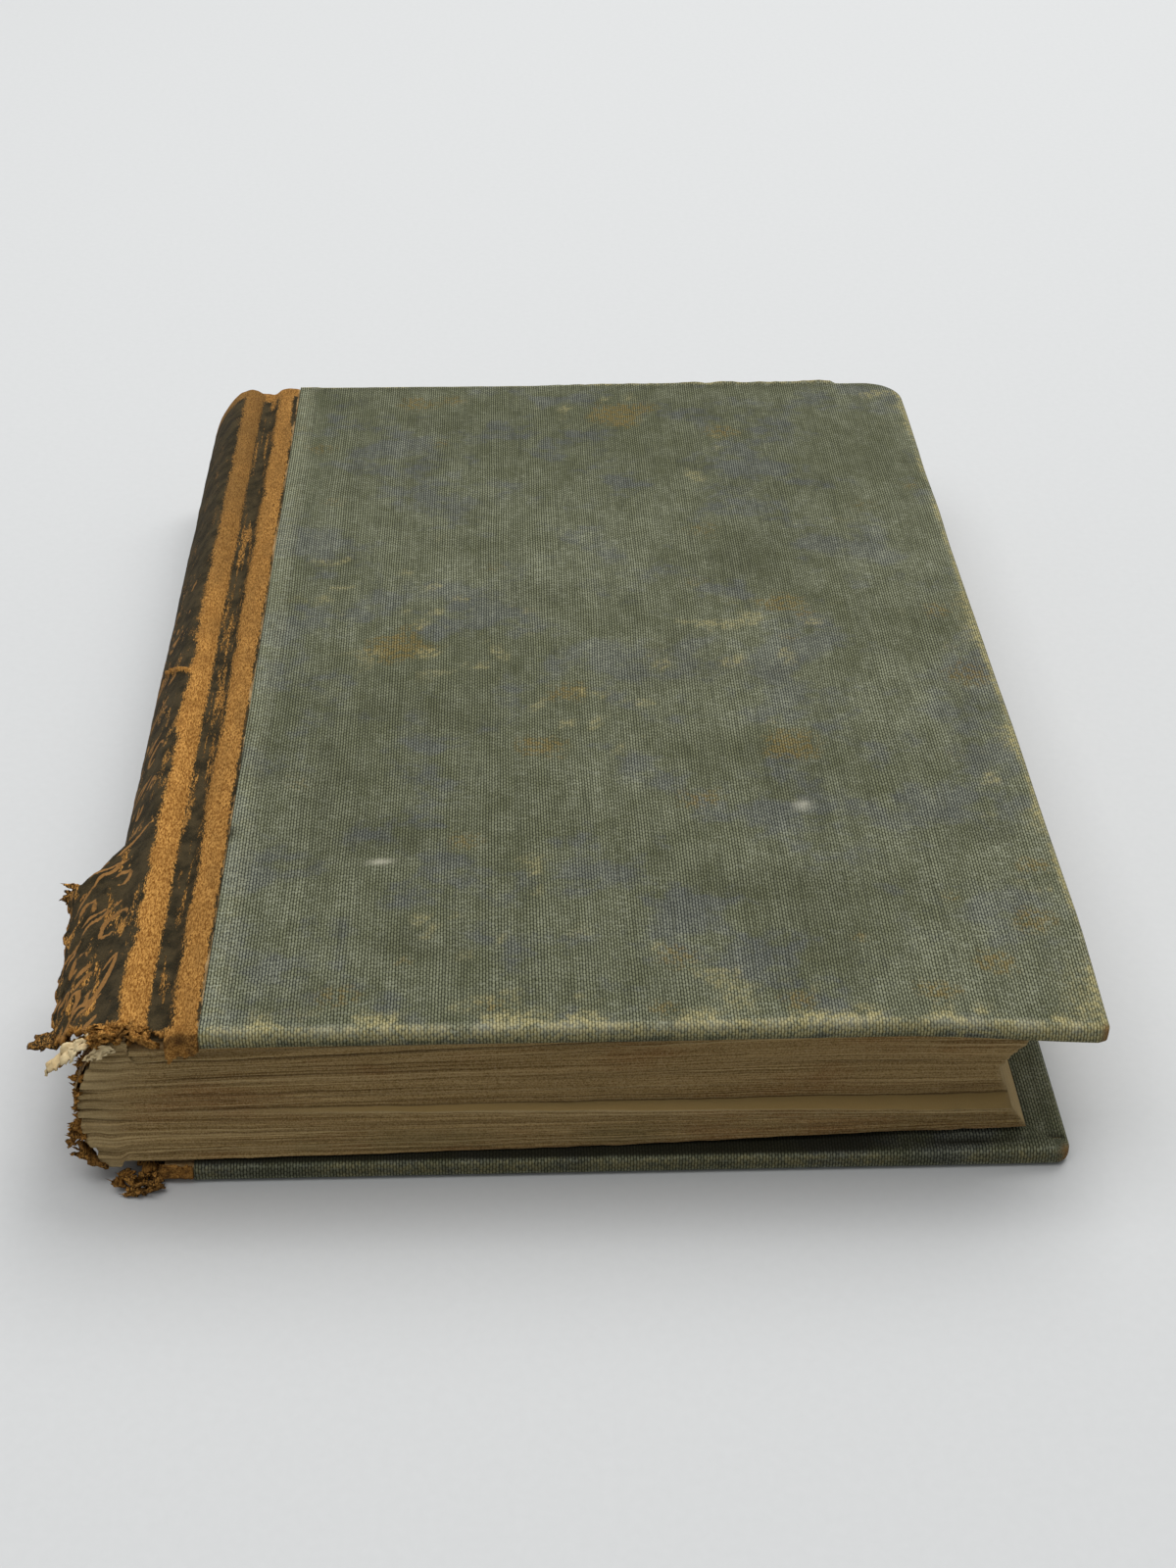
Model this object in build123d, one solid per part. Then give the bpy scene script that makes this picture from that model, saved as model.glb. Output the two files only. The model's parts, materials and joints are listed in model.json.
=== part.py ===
from build123d import *
import math
import os

# A quarter-bound hardback book, old and worn, lying shut on its back cover.
# +X runs from the spine to the fore-edge, +Y from the tail to the head, and +Z up
# through the closed book. The origin is the middle of the back cover's outer face.
# All sizes are in millimetres.

# Overall sizes
cover_length = 225.0  # head to tail, over the cloth
cover_width = 141.0  # spine edge to fore-edge, over the cloth
block_thickness = 22.6  # the leaves, between the covers
block_play = 0.1  # between the leaves and each cover
front_slide = 3.0  # the front cover lies this much nearer the fore-edge than the back one

# Covers
board_thickness = 2.6
cloth_thickness = 0.4
pastedown_thickness = 0.2
turn_in = 15.0  # cloth and leather folded over onto the inside of the board
pastedown_margin = 7.5  # turned-in cloth left showing round the pastedown
corner_radius = 2.5  # in plan, at the fore-edge corners
worn_corner_radius = 8.0  # the front cover's head corner is worn round
board_edge_radius = 0.9

# Leather
strip_width = 5.0  # leather on the board that shows beside the cloth
strip_lap = 3.9  # pared leather that goes on under the cloth
lap_thickness = 0.2
leather_thickness = 0.7  # over the spine and in the joint
groove_width = 3.3  # from the hinge line to the board's spine edge
groove_gap = 0.15  # between the leather in the groove and the spine's flank

# Spine
ridge_width = 4.1  # flat on top of the shoulder, over the leather
ridge_drop = 0.3  # the ridge lies this far inside the covers' outer faces
spine_swell = 5.6  # how far the rounded back bulges past its shoulders
lining_thickness = 0.4
lining_gap = 0.05  # between the lining and the leather
lining_inset = 0.5  # the lining stops this far from the covers' inner faces
ridge_radius = 0.6
leather_head_inset = 0.2
leather_tail_inset = 2.0
flank_depth = 0.7  # the flank leather stops this far from the leaves
shoulder_slack = 1.0  # how far behind their corners the shoulders are cleared

# The torn tail of the spine
tear_from_tail = 52.5
back_remnant = 3.5  # height of leather left on the back shoulder below the tear
flap_reach = 18.0  # along the curve, from the ridge to the flap's torn edge
flap_overlap = 1.0  # of the flap's root with the ridge
flap_stations = ((0.0, 0.0), (0.2, 24.0), (0.6, 20.0), (1.0, 15.0))  # part of the tear, degrees

# Leaves
block_head_inset = 3.0  # the cover's square at the head
block_tail_inset = 1.2  # at the spine; the tail is cut out of square
tail_slope = 0.0237
upper_tail_slope = 0.0553  # the upper leaves have slipped back towards the fore-edge
slip_start = 1.5  # from the spine edge of the back cover, where the slip begins
split_height_spine = 14.0
split_height_fore = 9.5
top_droop = 0.9  # the top leaf sinks this much towards the fore-edge
droop_length = 28.0
bottom_rise = 1.3  # the bottom leaf lifts this much towards the fore-edge
rise_length = 84.0
fore_top_inset = 7.0  # from the front cover's fore-edge to the top leaf
fore_bottom_inset = 6.2  # from the back cover's fore-edge to the bottom leaf
fore_hollow_inset = 11.3  # from the back cover's fore-edge to the deepest of the hollow
fore_hollow_height = 9.8  # of the deepest place above the bottom leaf

# Worked-out sizes
wrapped_thickness = board_thickness + 2 * cloth_thickness
cover_thickness = wrapped_thickness + pastedown_thickness
book_height = 2 * cover_thickness + block_thickness + 2 * block_play
back_edge_x = -cover_width / 2
front_edge_x = back_edge_x + front_slide
back_hinge_x = back_edge_x - groove_width
front_hinge_x = front_edge_x - groove_width
block_bottom = cover_thickness + block_play
block_top = block_bottom + block_thickness
half_length = cover_length / 2
spine_build = lining_thickness + lining_gap + leather_thickness
far = 2 * cover_width


def box(x_range, y_range, z_range):
    """A plain box between two limits along each axis."""
    sizes = [high - low for low, high in (x_range, y_range, z_range)]
    corner = Pos(x_range[0], y_range[0], z_range[0])
    return corner * Box(*sizes, align=(Align.MIN, Align.MIN, Align.MIN))


def along_spine(section, y_tail, y_head):
    """Extrude a section drawn in X and Z from y_tail to y_head."""
    return extrude(Plane.XZ.offset(-y_head) * section, y_head - y_tail, dir=(0, -1, 0))


# The covers are made outer face down, with the spine edge at X = 0, and then placed.


def slab(inset, thickness, head_radius, edge_radius):
    """A plate, inset from the cover's outline, with rounded corners and edges."""
    size = (cover_width - 2 * inset, cover_length - 2 * inset)
    outline = Pos(inset, 0) * Rectangle(*size, align=(Align.MIN, Align.CENTER))
    for side, radius in ((-1, head_radius), (0, corner_radius)):
        corner = outline.vertices().group_by(Axis.X)[-1].sort_by(Axis.Y)[side]
        outline = fillet(corner, radius - inset)
    plate = extrude(outline, thickness)
    outer_edges = plate.edges().group_by(Axis.Z)[0]
    inner_edges = plate.edges().group_by(Axis.Z)[-1].sort_by(Axis.X)[1:]
    return fillet(outer_edges + inner_edges, edge_radius)


def cover(head_radius):
    """Board, cloth, pastedown and leather of one cover, outer face at Z = 0."""
    board_top = cloth_thickness + board_thickness
    wrapped = slab(0, wrapped_thickness, head_radius, board_edge_radius + cloth_thickness)
    bare_board = Pos(0, 0, cloth_thickness) * slab(
        cloth_thickness, board_thickness, head_radius, board_edge_radius
    )
    lap = bare_board & box(
        (strip_width - strip_lap, strip_width + strip_lap),
        (-half_length, half_length),
        (cloth_thickness, cloth_thickness + lap_thickness),
    )
    open_length = half_length - turn_in
    window = box(
        (0, cover_width - turn_in), (-open_length, open_length), (board_top, wrapped_thickness)
    )
    skin = wrapped - bare_board - window
    strip_zone = box((0, strip_width), (-half_length, half_length), (0, wrapped_thickness))
    joint = box(
        (groove_gap - groove_width, cloth_thickness),
        (-half_length, half_length),
        (wrapped_thickness - leather_thickness, wrapped_thickness),
    )
    leather = (skin & strip_zone) + lap + joint
    cloth = skin - strip_zone

    paper_length = half_length - pastedown_margin
    paper = box(
        (cloth_thickness, cover_width - pastedown_margin),
        (-paper_length, paper_length),
        (board_top, cover_thickness),
    )
    low_length = open_length - pastedown_thickness
    low_area = box(
        (0, cover_width - turn_in - pastedown_thickness),
        (-low_length, low_length),
        (board_top + pastedown_thickness, cover_thickness),
    )
    pastedown = paper - skin - leather - low_area
    return {
        "board": bare_board - lap,
        "cloth": cloth,
        "pastedown": pastedown,
        "leather": leather,
    }


def back_cover():
    return {
        "back_" + name: Pos(back_edge_x, 0, 0) * piece
        for name, piece in cover(corner_radius).items()
    }


def front_cover():
    return {
        "front_" + name: Pos(front_edge_x, 0, book_height) * mirror(piece, about=Plane.XY)
        for name, piece in cover(worn_corner_radius).items()
    }


# The rounded back is a circle through the outer corners of the two shoulders, which
# stand proud of the leaves and take the boards.

front_flank_x = front_hinge_x - spine_build
back_flank_x = back_hinge_x - spine_build
shoulder_top = book_height - ridge_drop - spine_build
shoulder_bottom = ridge_drop + spine_build
shoulder_width = ridge_width - spine_build
top_corner = Vector(front_flank_x - shoulder_width, shoulder_top)
bottom_corner = Vector(back_flank_x - shoulder_width, shoulder_bottom)
chord = bottom_corner - top_corner
spine_radius = chord.length**2 / (8 * spine_swell) + spine_swell / 2
outward = Vector(chord.Y, -chord.X).normalized()
spine_centre = (top_corner + bottom_corner) * 0.5 + outward * (spine_swell - spine_radius)
middle_height = book_height / 2


def spine_section(offset):
    """The rounded back and its shoulders, grown outwards by offset."""
    band = Polygon(
        (-far, shoulder_bottom - offset),
        (back_flank_x + offset, shoulder_bottom - offset),
        (back_flank_x + offset, middle_height),
        (front_flank_x + offset, middle_height),
        (front_flank_x + offset, shoulder_top + offset),
        (-far, shoulder_top + offset),
        align=None,
    )
    back = Pos(spine_centre.X, spine_centre.Y) * Circle(spine_radius + offset)
    return back & band


def block_section():
    """The leaves seen from the tail, with their shoulders and hollow fore-edge."""
    back_fore_x = back_edge_x + cover_width
    front_fore_x = front_edge_x + cover_width
    top_leaf = (front_fore_x - fore_top_inset, block_top - top_droop)
    hollow = (back_fore_x - fore_hollow_inset, block_bottom + fore_hollow_height)
    bottom_leaf = (back_fore_x - fore_bottom_inset, block_bottom + bottom_rise)
    droop_start = (top_leaf[0] - droop_length, block_top)
    rise_start = (bottom_leaf[0] - rise_length, block_bottom)
    joint_top = (front_flank_x - shoulder_slack, block_top)
    joint_bottom = (back_flank_x - shoulder_slack, block_bottom)
    outline = [
        Polyline(bottom_leaf, rise_start, joint_bottom, joint_top, droop_start, top_leaf),
        ThreePointArc(top_leaf, hollow, bottom_leaf),
    ]
    return make_face(outline) + spine_section(0)


def text_block():
    block = along_spine(block_section(), -half_length, half_length - block_head_inset)
    split = Polygon(
        (-far, split_height_spine),
        (back_edge_x, split_height_spine),
        (-back_edge_x, split_height_fore),
        (far, split_height_fore),
        (far, far),
        (-far, far),
        align=None,
    )
    above = along_spine(split, -far, far)
    slip_x = back_edge_x + slip_start
    slip_y = block_tail_inset - half_length
    trimmed = []
    for leaves, slope in ((block & above, upper_tail_slope), (block - above, tail_slope)):
        waste = Polygon(
            (-far, -far),
            (-far, slip_y - tail_slope * (far + slip_x)),
            (slip_x, slip_y),
            (far, slip_y + slope * (far - slip_x)),
            (far, -far),
            align=None,
        )
        trimmed.append(leaves - extrude(waste, book_height, dir=(0, 0, 1)))
    return trimmed[0] + trimmed[1]


def spine_lining():
    ring = spine_section(lining_thickness) - block_section()
    low = cover_thickness - lining_inset
    kept = Polygon(
        (-far, low),
        (bottom_corner.X, low),
        (top_corner.X, book_height - low),
        (-far, book_height - low),
        align=None,
    )
    return along_spine(
        ring & kept, block_tail_inset - half_length, half_length - block_head_inset
    )


def leather_ring():
    """The spine's leather in section, open towards the leaves."""
    outer = spine_section(spine_build)
    for side in (0, -1):
        outer = fillet(outer.vertices().group_by(Axis.Y)[side], ridge_radius)
    inner = spine_section(lining_thickness + lining_gap)
    mouth_bottom = block_bottom - flank_depth
    mouth_top = block_top + flank_depth
    mouth = Polygon(
        (bottom_corner.X - shoulder_slack, mouth_bottom),
        (far, mouth_bottom),
        (far, mouth_top),
        (top_corner.X - shoulder_slack, mouth_top),
        align=None,
    )
    return outer - inner - mouth


def flap_section(turn):
    """The freed leather in section, turned outwards about the ridge by some degrees."""
    outer = spine_radius + spine_build
    inner = outer - leather_thickness
    rise = shoulder_top - spine_centre.Y
    root_angle = 180 - math.degrees(math.asin(rise / outer))
    reach = math.degrees(flap_reach / outer)
    overlap = math.degrees(flap_overlap / outer)

    def point(radius, angle):
        return Vector(radius, 0).rotate(Axis.Z, angle) + spine_centre

    angles = [root_angle - overlap, root_angle + reach / 2, root_angle + reach]
    outside = [point(outer, angle) for angle in angles]
    inside = [point(inner, angle) for angle in angles]
    edges = [
        ThreePointArc(*outside),
        Line(outside[2], inside[2]),
        ThreePointArc(*reversed(inside)),
        Line(inside[0], outside[0]),
    ]
    pivot = point((outer + inner) / 2, root_angle)
    return Pos(pivot) * Rot(0, 0, -turn) * Pos(-pivot) * make_face(edges)


def spine_leather():
    ring = leather_ring()
    tail_end = leather_tail_inset - half_length
    tear_y = tear_from_tail - half_length
    whole = along_spine(ring, tear_y, half_length - leather_head_inset)
    lost = Polygon(
        (-far, ridge_drop + back_remnant),
        (top_corner.X, ridge_drop + back_remnant),
        (top_corner.X, shoulder_top),
        (-far, shoulder_top),
        align=None,
    )
    ridges = along_spine(ring - lost, tail_end, tear_y)
    sections = [
        Plane.XZ.offset(-(tear_y + part * (tail_end - tear_y))) * flap_section(turn)
        for part, turn in flap_stations
    ]
    return whole + ridges + loft(sections, ruled=True)


def book():
    pieces = {
        "text_block": text_block(),
        "spine_lining": spine_lining(),
        "spine_leather": spine_leather(),
    }
    pieces.update(front_cover())
    pieces.update(back_cover())
    return pieces


os.makedirs("parts", exist_ok=True)
for node, piece in book().items():
    export_step(piece, f"parts/{node}.step")
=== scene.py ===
import json
import math
from itertools import product

import bpy
import numpy as np
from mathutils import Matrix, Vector


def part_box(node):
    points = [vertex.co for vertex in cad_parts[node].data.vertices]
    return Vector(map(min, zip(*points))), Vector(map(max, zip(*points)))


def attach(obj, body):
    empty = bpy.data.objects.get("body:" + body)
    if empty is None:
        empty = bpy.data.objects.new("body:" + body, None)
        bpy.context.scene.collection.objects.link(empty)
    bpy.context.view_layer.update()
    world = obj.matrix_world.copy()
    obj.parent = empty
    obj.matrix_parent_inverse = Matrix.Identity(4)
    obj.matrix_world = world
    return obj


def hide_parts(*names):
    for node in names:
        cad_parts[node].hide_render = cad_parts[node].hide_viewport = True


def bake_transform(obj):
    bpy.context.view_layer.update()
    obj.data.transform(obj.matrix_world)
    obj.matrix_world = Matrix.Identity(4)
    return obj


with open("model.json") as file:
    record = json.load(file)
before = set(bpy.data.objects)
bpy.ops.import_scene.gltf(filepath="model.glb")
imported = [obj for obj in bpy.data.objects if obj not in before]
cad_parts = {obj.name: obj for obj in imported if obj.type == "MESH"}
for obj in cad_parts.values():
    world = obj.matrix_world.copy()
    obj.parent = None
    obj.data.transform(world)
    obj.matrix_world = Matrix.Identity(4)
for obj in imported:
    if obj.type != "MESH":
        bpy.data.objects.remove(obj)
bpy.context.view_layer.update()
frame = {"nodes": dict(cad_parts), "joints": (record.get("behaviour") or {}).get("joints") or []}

# The looks of an old quarter-leather book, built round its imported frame. Lengths here are
# in millimetres, and MM turns them into Blender's metres when a mesh is made.

MM = 0.001


def node_box(node):
    """Lowest and highest corner of a CAD node, in millimetres."""
    low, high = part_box(node)
    return np.array(low) / MM, np.array(high) / MM


# ---------------------------------------------------------------- places from the frame

cloth_low, cloth_high = node_box("front_cloth")
back_cloth_low, back_cloth_high = node_box("back_cloth")
block_low, block_high = node_box("text_block")
lining_low, lining_high = node_box("spine_lining")
page_gap_top = node_box("front_pastedown")[0][2]
page_gap_bottom = node_box("back_pastedown")[1][2]
hinges = {j["name"]: np.array(j["pos_m"]) / MM for j in frame["joints"]}
front_hinge = hinges["front_cover_hinge"]
back_hinge = hinges["back_cover_hinge"]

TOP = cloth_high[2]
HEAD = cloth_high[1]
TAIL = cloth_low[1]
FRONT_EDGE = node_box("front_board")[0][0] - 0.4
BACK_EDGE = node_box("back_board")[0][0] - 0.4
CLOTH = 0.4
WRAPPED = 3.4  # board with cloth on both sides
CLOTH_ROUND, TURNED_IN = 1.3, 9.0  # the cloth's radius at the edges, and its reach inside
LAP = 3.9  # how far the front cloth laps over the leather
SPINE_CENTRE = np.array((-62.7, 13.5))
SPINE_RADIUS = 20.5

# ---------------------------------------------------------------- noise and mesh helpers


def lattice(ix, iy, iz, seed):
    """A repeatable random number from 0 to 1 at each whole-numbered place."""
    n = (np.asarray(ix * 73856093 ^ iy * 19349663 ^ iz * 83492791) ^ seed * 2654435) & 0x7FFFFFFF
    for factor in (1274126177, 1911520717):
        n = (n ^ (n >> 13)) * factor & 0x7FFFFFFF
    return ((n ^ (n >> 15)) & 0xFFFF) / 65535.0


def noise(x, y=0.0, z=0.0, seed=0, octaves=1):
    """Smooth noise from -1 to 1 with features about one unit across."""
    place = np.broadcast_arrays(*(np.asarray(c, float) for c in (x, y, z)))
    total, weight, scale = np.zeros(place[0].shape), 0.0, 1.0
    for octave in range(octaves):
        cells = [np.floor(c * scale) for c in place]
        parts = [smooth(c * scale - cell) for c, cell in zip(place, cells)]
        i, j, k = (cell.astype(np.int64) for cell in cells)
        value = 0.0
        for step in product((0, 1), repeat=3):
            share = math.prod(part if up else 1 - part for part, up in zip(parts, step))
            value = value + share * lattice(i + step[0], j + step[1], k + step[2], seed + octave * 17)
        total = total + (2 * value - 1) / scale
        weight += 1 / scale
        scale *= 2
    return total / weight


def patches(low, high, x, y=0.0, z=0.0, seed=0, octaves=3):
    """Noise turned into soft patches: 0 where it is below low, 1 where it is above high."""
    return smooth(noise(x, y, z, seed=seed, octaves=octaves), low, high)


def smooth(x, low=0.0, high=1.0):
    """0 below low, 1 above high, and an even S-curve between them."""
    t = np.clip((np.asarray(x, float) - low) / (high - low), 0, 1)
    return t * t * (3 - 2 * t)


def fade(x, low, high):
    """1 below low and 0 above high."""
    return 1 - smooth(x, low, high)


def bent_slab(node, radii, inward, edge_radius, turn_in, inset=0.0):
    """A board or an endpaper of the CAD part, bent with the front cover."""
    low, high = node_box(node)
    outline = Outline(low[0] + inset, high[0], low[1], high[1], *radii, 6.0)
    z_out = high[2] if inward < 0 else low[2]

    def shape(points):
        x, y, depth = points.T
        return np.stack((x, y, depth - inward * front_droop(x, y)), -1)

    def layers(x, y, depth):
        return {}

    size = (edge_radius, high[2] - low[2], turn_in)
    slab = cover_skin(node + "_bent", outline, z_out, inward, *size, shape, layers)
    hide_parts(node)
    return slab


def bell(x, centre, width):
    """1 at the centre, falling to 0 a few widths away."""
    return np.exp(-(((np.asarray(x, float) - centre) / width) ** 2))


def smooth_path(points, spacing):
    """A smooth curve through the points, cut into nearly even steps."""
    points = np.array(points, float)
    padded = np.vstack((2 * points[0] - points[1], points, 2 * points[-1] - points[-2]))
    dense = []
    steps = np.linspace(0, 1, 24, endpoint=False)[:, None]
    for a, b, c, d in zip(padded, padded[1:], padded[2:], padded[3:]):
        dense.append(
            0.5 * (2 * b + (c - a) * steps + (2 * a - 5 * b + 4 * c - d) * steps**2
                   + (3 * b - a - 3 * c + d) * steps**3)
        )
    dense = np.vstack((*dense, points[-1:]))
    lengths = np.concatenate(([0], np.cumsum(np.linalg.norm(np.diff(dense, axis=0), axis=1))))
    at = np.linspace(0, lengths[-1], max(2, round(lengths[-1] / spacing) + 1))
    return np.column_stack([np.interp(at, lengths, dense[:, k]) for k in range(points.shape[1])])


def path_lengths(path):
    """How far each point is along a path."""
    return np.concatenate(([0], np.cumsum(np.linalg.norm(np.diff(path, axis=0), axis=1))))


def path_normals(path):
    """Unit normals of a path in the XZ plane, to the right of its direction."""
    along = np.gradient(path, axis=0)
    along /= np.linalg.norm(along, axis=1)[:, None]
    return np.column_stack((along[:, 1], -along[:, 0]))


def grid_faces(index):
    """Quads of a grid of vertex numbers."""
    return np.stack(
        (index[:-1, :-1], index[1:, :-1], index[1:, 1:], index[:-1, 1:]), axis=-1
    ).reshape(-1, 4)


def make_piece(name, points, faces, uv=None, layers=None, merge=0.0):
    """A smooth-shaded mesh object from points in millimetres, with UVs and vertex layers."""
    points = np.asarray(points, float).reshape(-1, 3)
    faces = np.asarray(faces, int)
    used, faces = np.unique(faces, return_inverse=True)
    faces = faces.reshape(-1, 4) if faces.ndim == 1 else faces
    mesh = bpy.data.meshes.new(name)
    mesh.vertices.add(len(used))
    mesh.vertices.foreach_set("co", (points[used] * MM).astype(np.float32).ravel())
    mesh.loops.add(faces.size)
    mesh.loops.foreach_set("vertex_index", faces.ravel().astype(np.int32))
    mesh.polygons.add(len(faces))
    mesh.polygons.foreach_set("loop_start", np.arange(0, faces.size, 4, dtype=np.int32))
    mesh.update(calc_edges=True)
    for key, values in (layers or {}).items():
        layer = mesh.attributes.new(key, "FLOAT", "POINT")
        layer.data.foreach_set("value", np.asarray(values, np.float32).ravel()[used])
    if uv is not None:
        layer = mesh.uv_layers.new(name="unrolled")
        corner_uv = np.asarray(uv, np.float32).reshape(-1, 2)[used][faces.ravel()]
        layer.data.foreach_set("uv", corner_uv.ravel())
    mesh.validate()
    mesh.shade_smooth()
    piece = bpy.data.objects.new(name, mesh)
    bpy.context.collection.objects.link(piece)
    if merge:
        apply_modifier(piece, "WELD", merge_threshold=merge * MM)
    return piece


def apply_modifier(piece, kind, **settings):
    modifier = piece.modifiers.new(kind.lower(), kind)
    for key, value in settings.items():
        setattr(modifier, key, value)
    bpy.context.view_layer.objects.active = piece
    with bpy.context.temp_override(object=piece, active_object=piece):
        bpy.ops.object.modifier_apply(modifier=modifier.name)


def thicken(piece, thickness):
    """Give a sheet its thickness, away from its normals."""
    apply_modifier(piece, "SOLIDIFY", thickness=thickness * MM, offset=-1, use_rim=True)


def shown_faces(index, present):
    """Quads whose four corners are all present."""
    faces = grid_faces(index)
    return faces[present.ravel()[faces].all(axis=1)]


# ---------------------------------------------------------------- material helpers


def srgb(red, green, blue):
    """A colour as it is seen, 0 to 255 a channel, turned into linear light."""
    parts = [c / 255 for c in (red, green, blue)]
    linear = [c / 12.92 if c <= 0.04045 else ((c + 0.055) / 1.055) ** 2.4 for c in parts]
    return (*linear, 1.0)


class Finish:
    """A procedural material, built one node at a time."""

    def __init__(self, name):
        self.material = bpy.data.materials.new(name)
        self.material.use_nodes = True
        self.tree = self.material.node_tree
        self.tree.nodes.clear()
        self.shader = self.tree.nodes.new("ShaderNodeBsdfPrincipled")
        output = self.tree.nodes.new("ShaderNodeOutputMaterial")
        self.tree.links.new(self.shader.outputs[0], output.inputs[0])

    def put(self, socket, value):
        if isinstance(value, bpy.types.NodeSocket):
            self.tree.links.new(value, socket)
        else:
            socket.default_value = value

    def add(self, kind, settings=None, **inputs):
        node = self.tree.nodes.new(kind)
        for key, value in (settings or {}).items():
            setattr(node, key, value)
        for key, value in inputs.items():
            self.put(node.inputs[key], value)
        return node

    def math(self, operation, *values):
        node = self.add("ShaderNodeMath", {"operation": operation})
        for socket, value in zip(node.inputs, (*values, 0.0, 0.0)):
            self.put(socket, value)
        return node.outputs[0]

    def times(self, first, second):
        return self.math("MULTIPLY", first, second)

    def plus(self, first, second):
        return self.math("ADD", first, second)

    def round_trip(self, value):
        """0 at each whole number and 1 midway between them."""
        return self.math("ABSOLUTE", self.math("SINE", self.times(value, math.pi)))

    def swing(self, value, reach):
        """A noise, moved to lie round zero, times reach."""
        return self.times(self.plus(value, -0.5), reach)

    def clamp(self, value, low=0.0, high=1.0):
        """value, taken from low..high to 0..1 with soft ends."""
        node = self.add("ShaderNodeMapRange", {"interpolation_type": "SMOOTHSTEP"})
        for socket, setting in zip(node.inputs, (value, low, high, 0.0, 1.0)):
            self.put(socket, setting)
        return node.outputs[0]

    def layer(self, name):
        return self.add("ShaderNodeAttribute", {"attribute_name": name}).outputs["Fac"]

    def place(self):
        """The point on the surface, in millimetres, in the piece's own frame."""
        coordinates = self.add("ShaderNodeTexCoord").outputs["Object"]
        return self.scaled(coordinates, (1 / MM,) * 3)

    def unrolled(self):
        return self.add("ShaderNodeUVMap", {"uv_map": "unrolled"}).outputs[0]

    def scaled(self, vector, scale):
        node = self.add("ShaderNodeVectorMath", {"operation": "MULTIPLY"})
        self.put(node.inputs[0], vector)
        self.put(node.inputs[1], scale)
        return node.outputs[0]

    def noise(self, vector, scale, detail=3.0, roughness=0.5):
        """Noise with scale features to the millimetre, or one scale for each axis."""
        along = isinstance(scale, tuple)
        size = 1.0 if along else scale
        node = self.add("ShaderNodeTexNoise", Scale=size, Detail=detail, Roughness=roughness)
        self.put(node.inputs["Vector"], self.scaled(vector, scale) if along else vector)
        return node.outputs["Fac"]

    def mix(self, share, first, second):
        """A blend of two colours, each a socket or red, green and blue from 0 to 255."""
        node = self.add("ShaderNodeMix", {"data_type": "RGBA"})
        self.put(node.inputs["Factor"], share)
        for socket, colour in zip(node.inputs[6:8], (first, second)):
            self.put(socket, srgb(*colour) if isinstance(colour, tuple) else colour)
        return node.outputs[2]

    def stain(self, under, colour, value, low, high, strength=1.0):
        """A colour laid over another where value is high, fully at strength 1."""
        share = self.clamp(value, low, high)
        return self.mix(share if strength == 1.0 else self.times(share, strength), under, colour)

    def done(self, colour, roughness, height=None, depth=0.1, strength=1.0):
        """Finish with a colour, a roughness and a bump whose full height is depth mm."""
        self.put(self.shader.inputs["Base Color"], colour)
        self.put(self.shader.inputs["Roughness"], roughness)
        self.put(self.shader.inputs["Specular IOR Level"], MATT)
        if height is not None:
            bump = self.add("ShaderNodeBump", Height=height, Distance=depth * MM, Strength=strength)
            self.put(self.shader.inputs["Normal"], bump.outputs[0])
        return self.material


# ---------------------------------------------------------------- finishes

THREAD_PITCH = 0.48
BEAD_LENGTH = 0.95
MATT = 0.12  # specular level of every material


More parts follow.
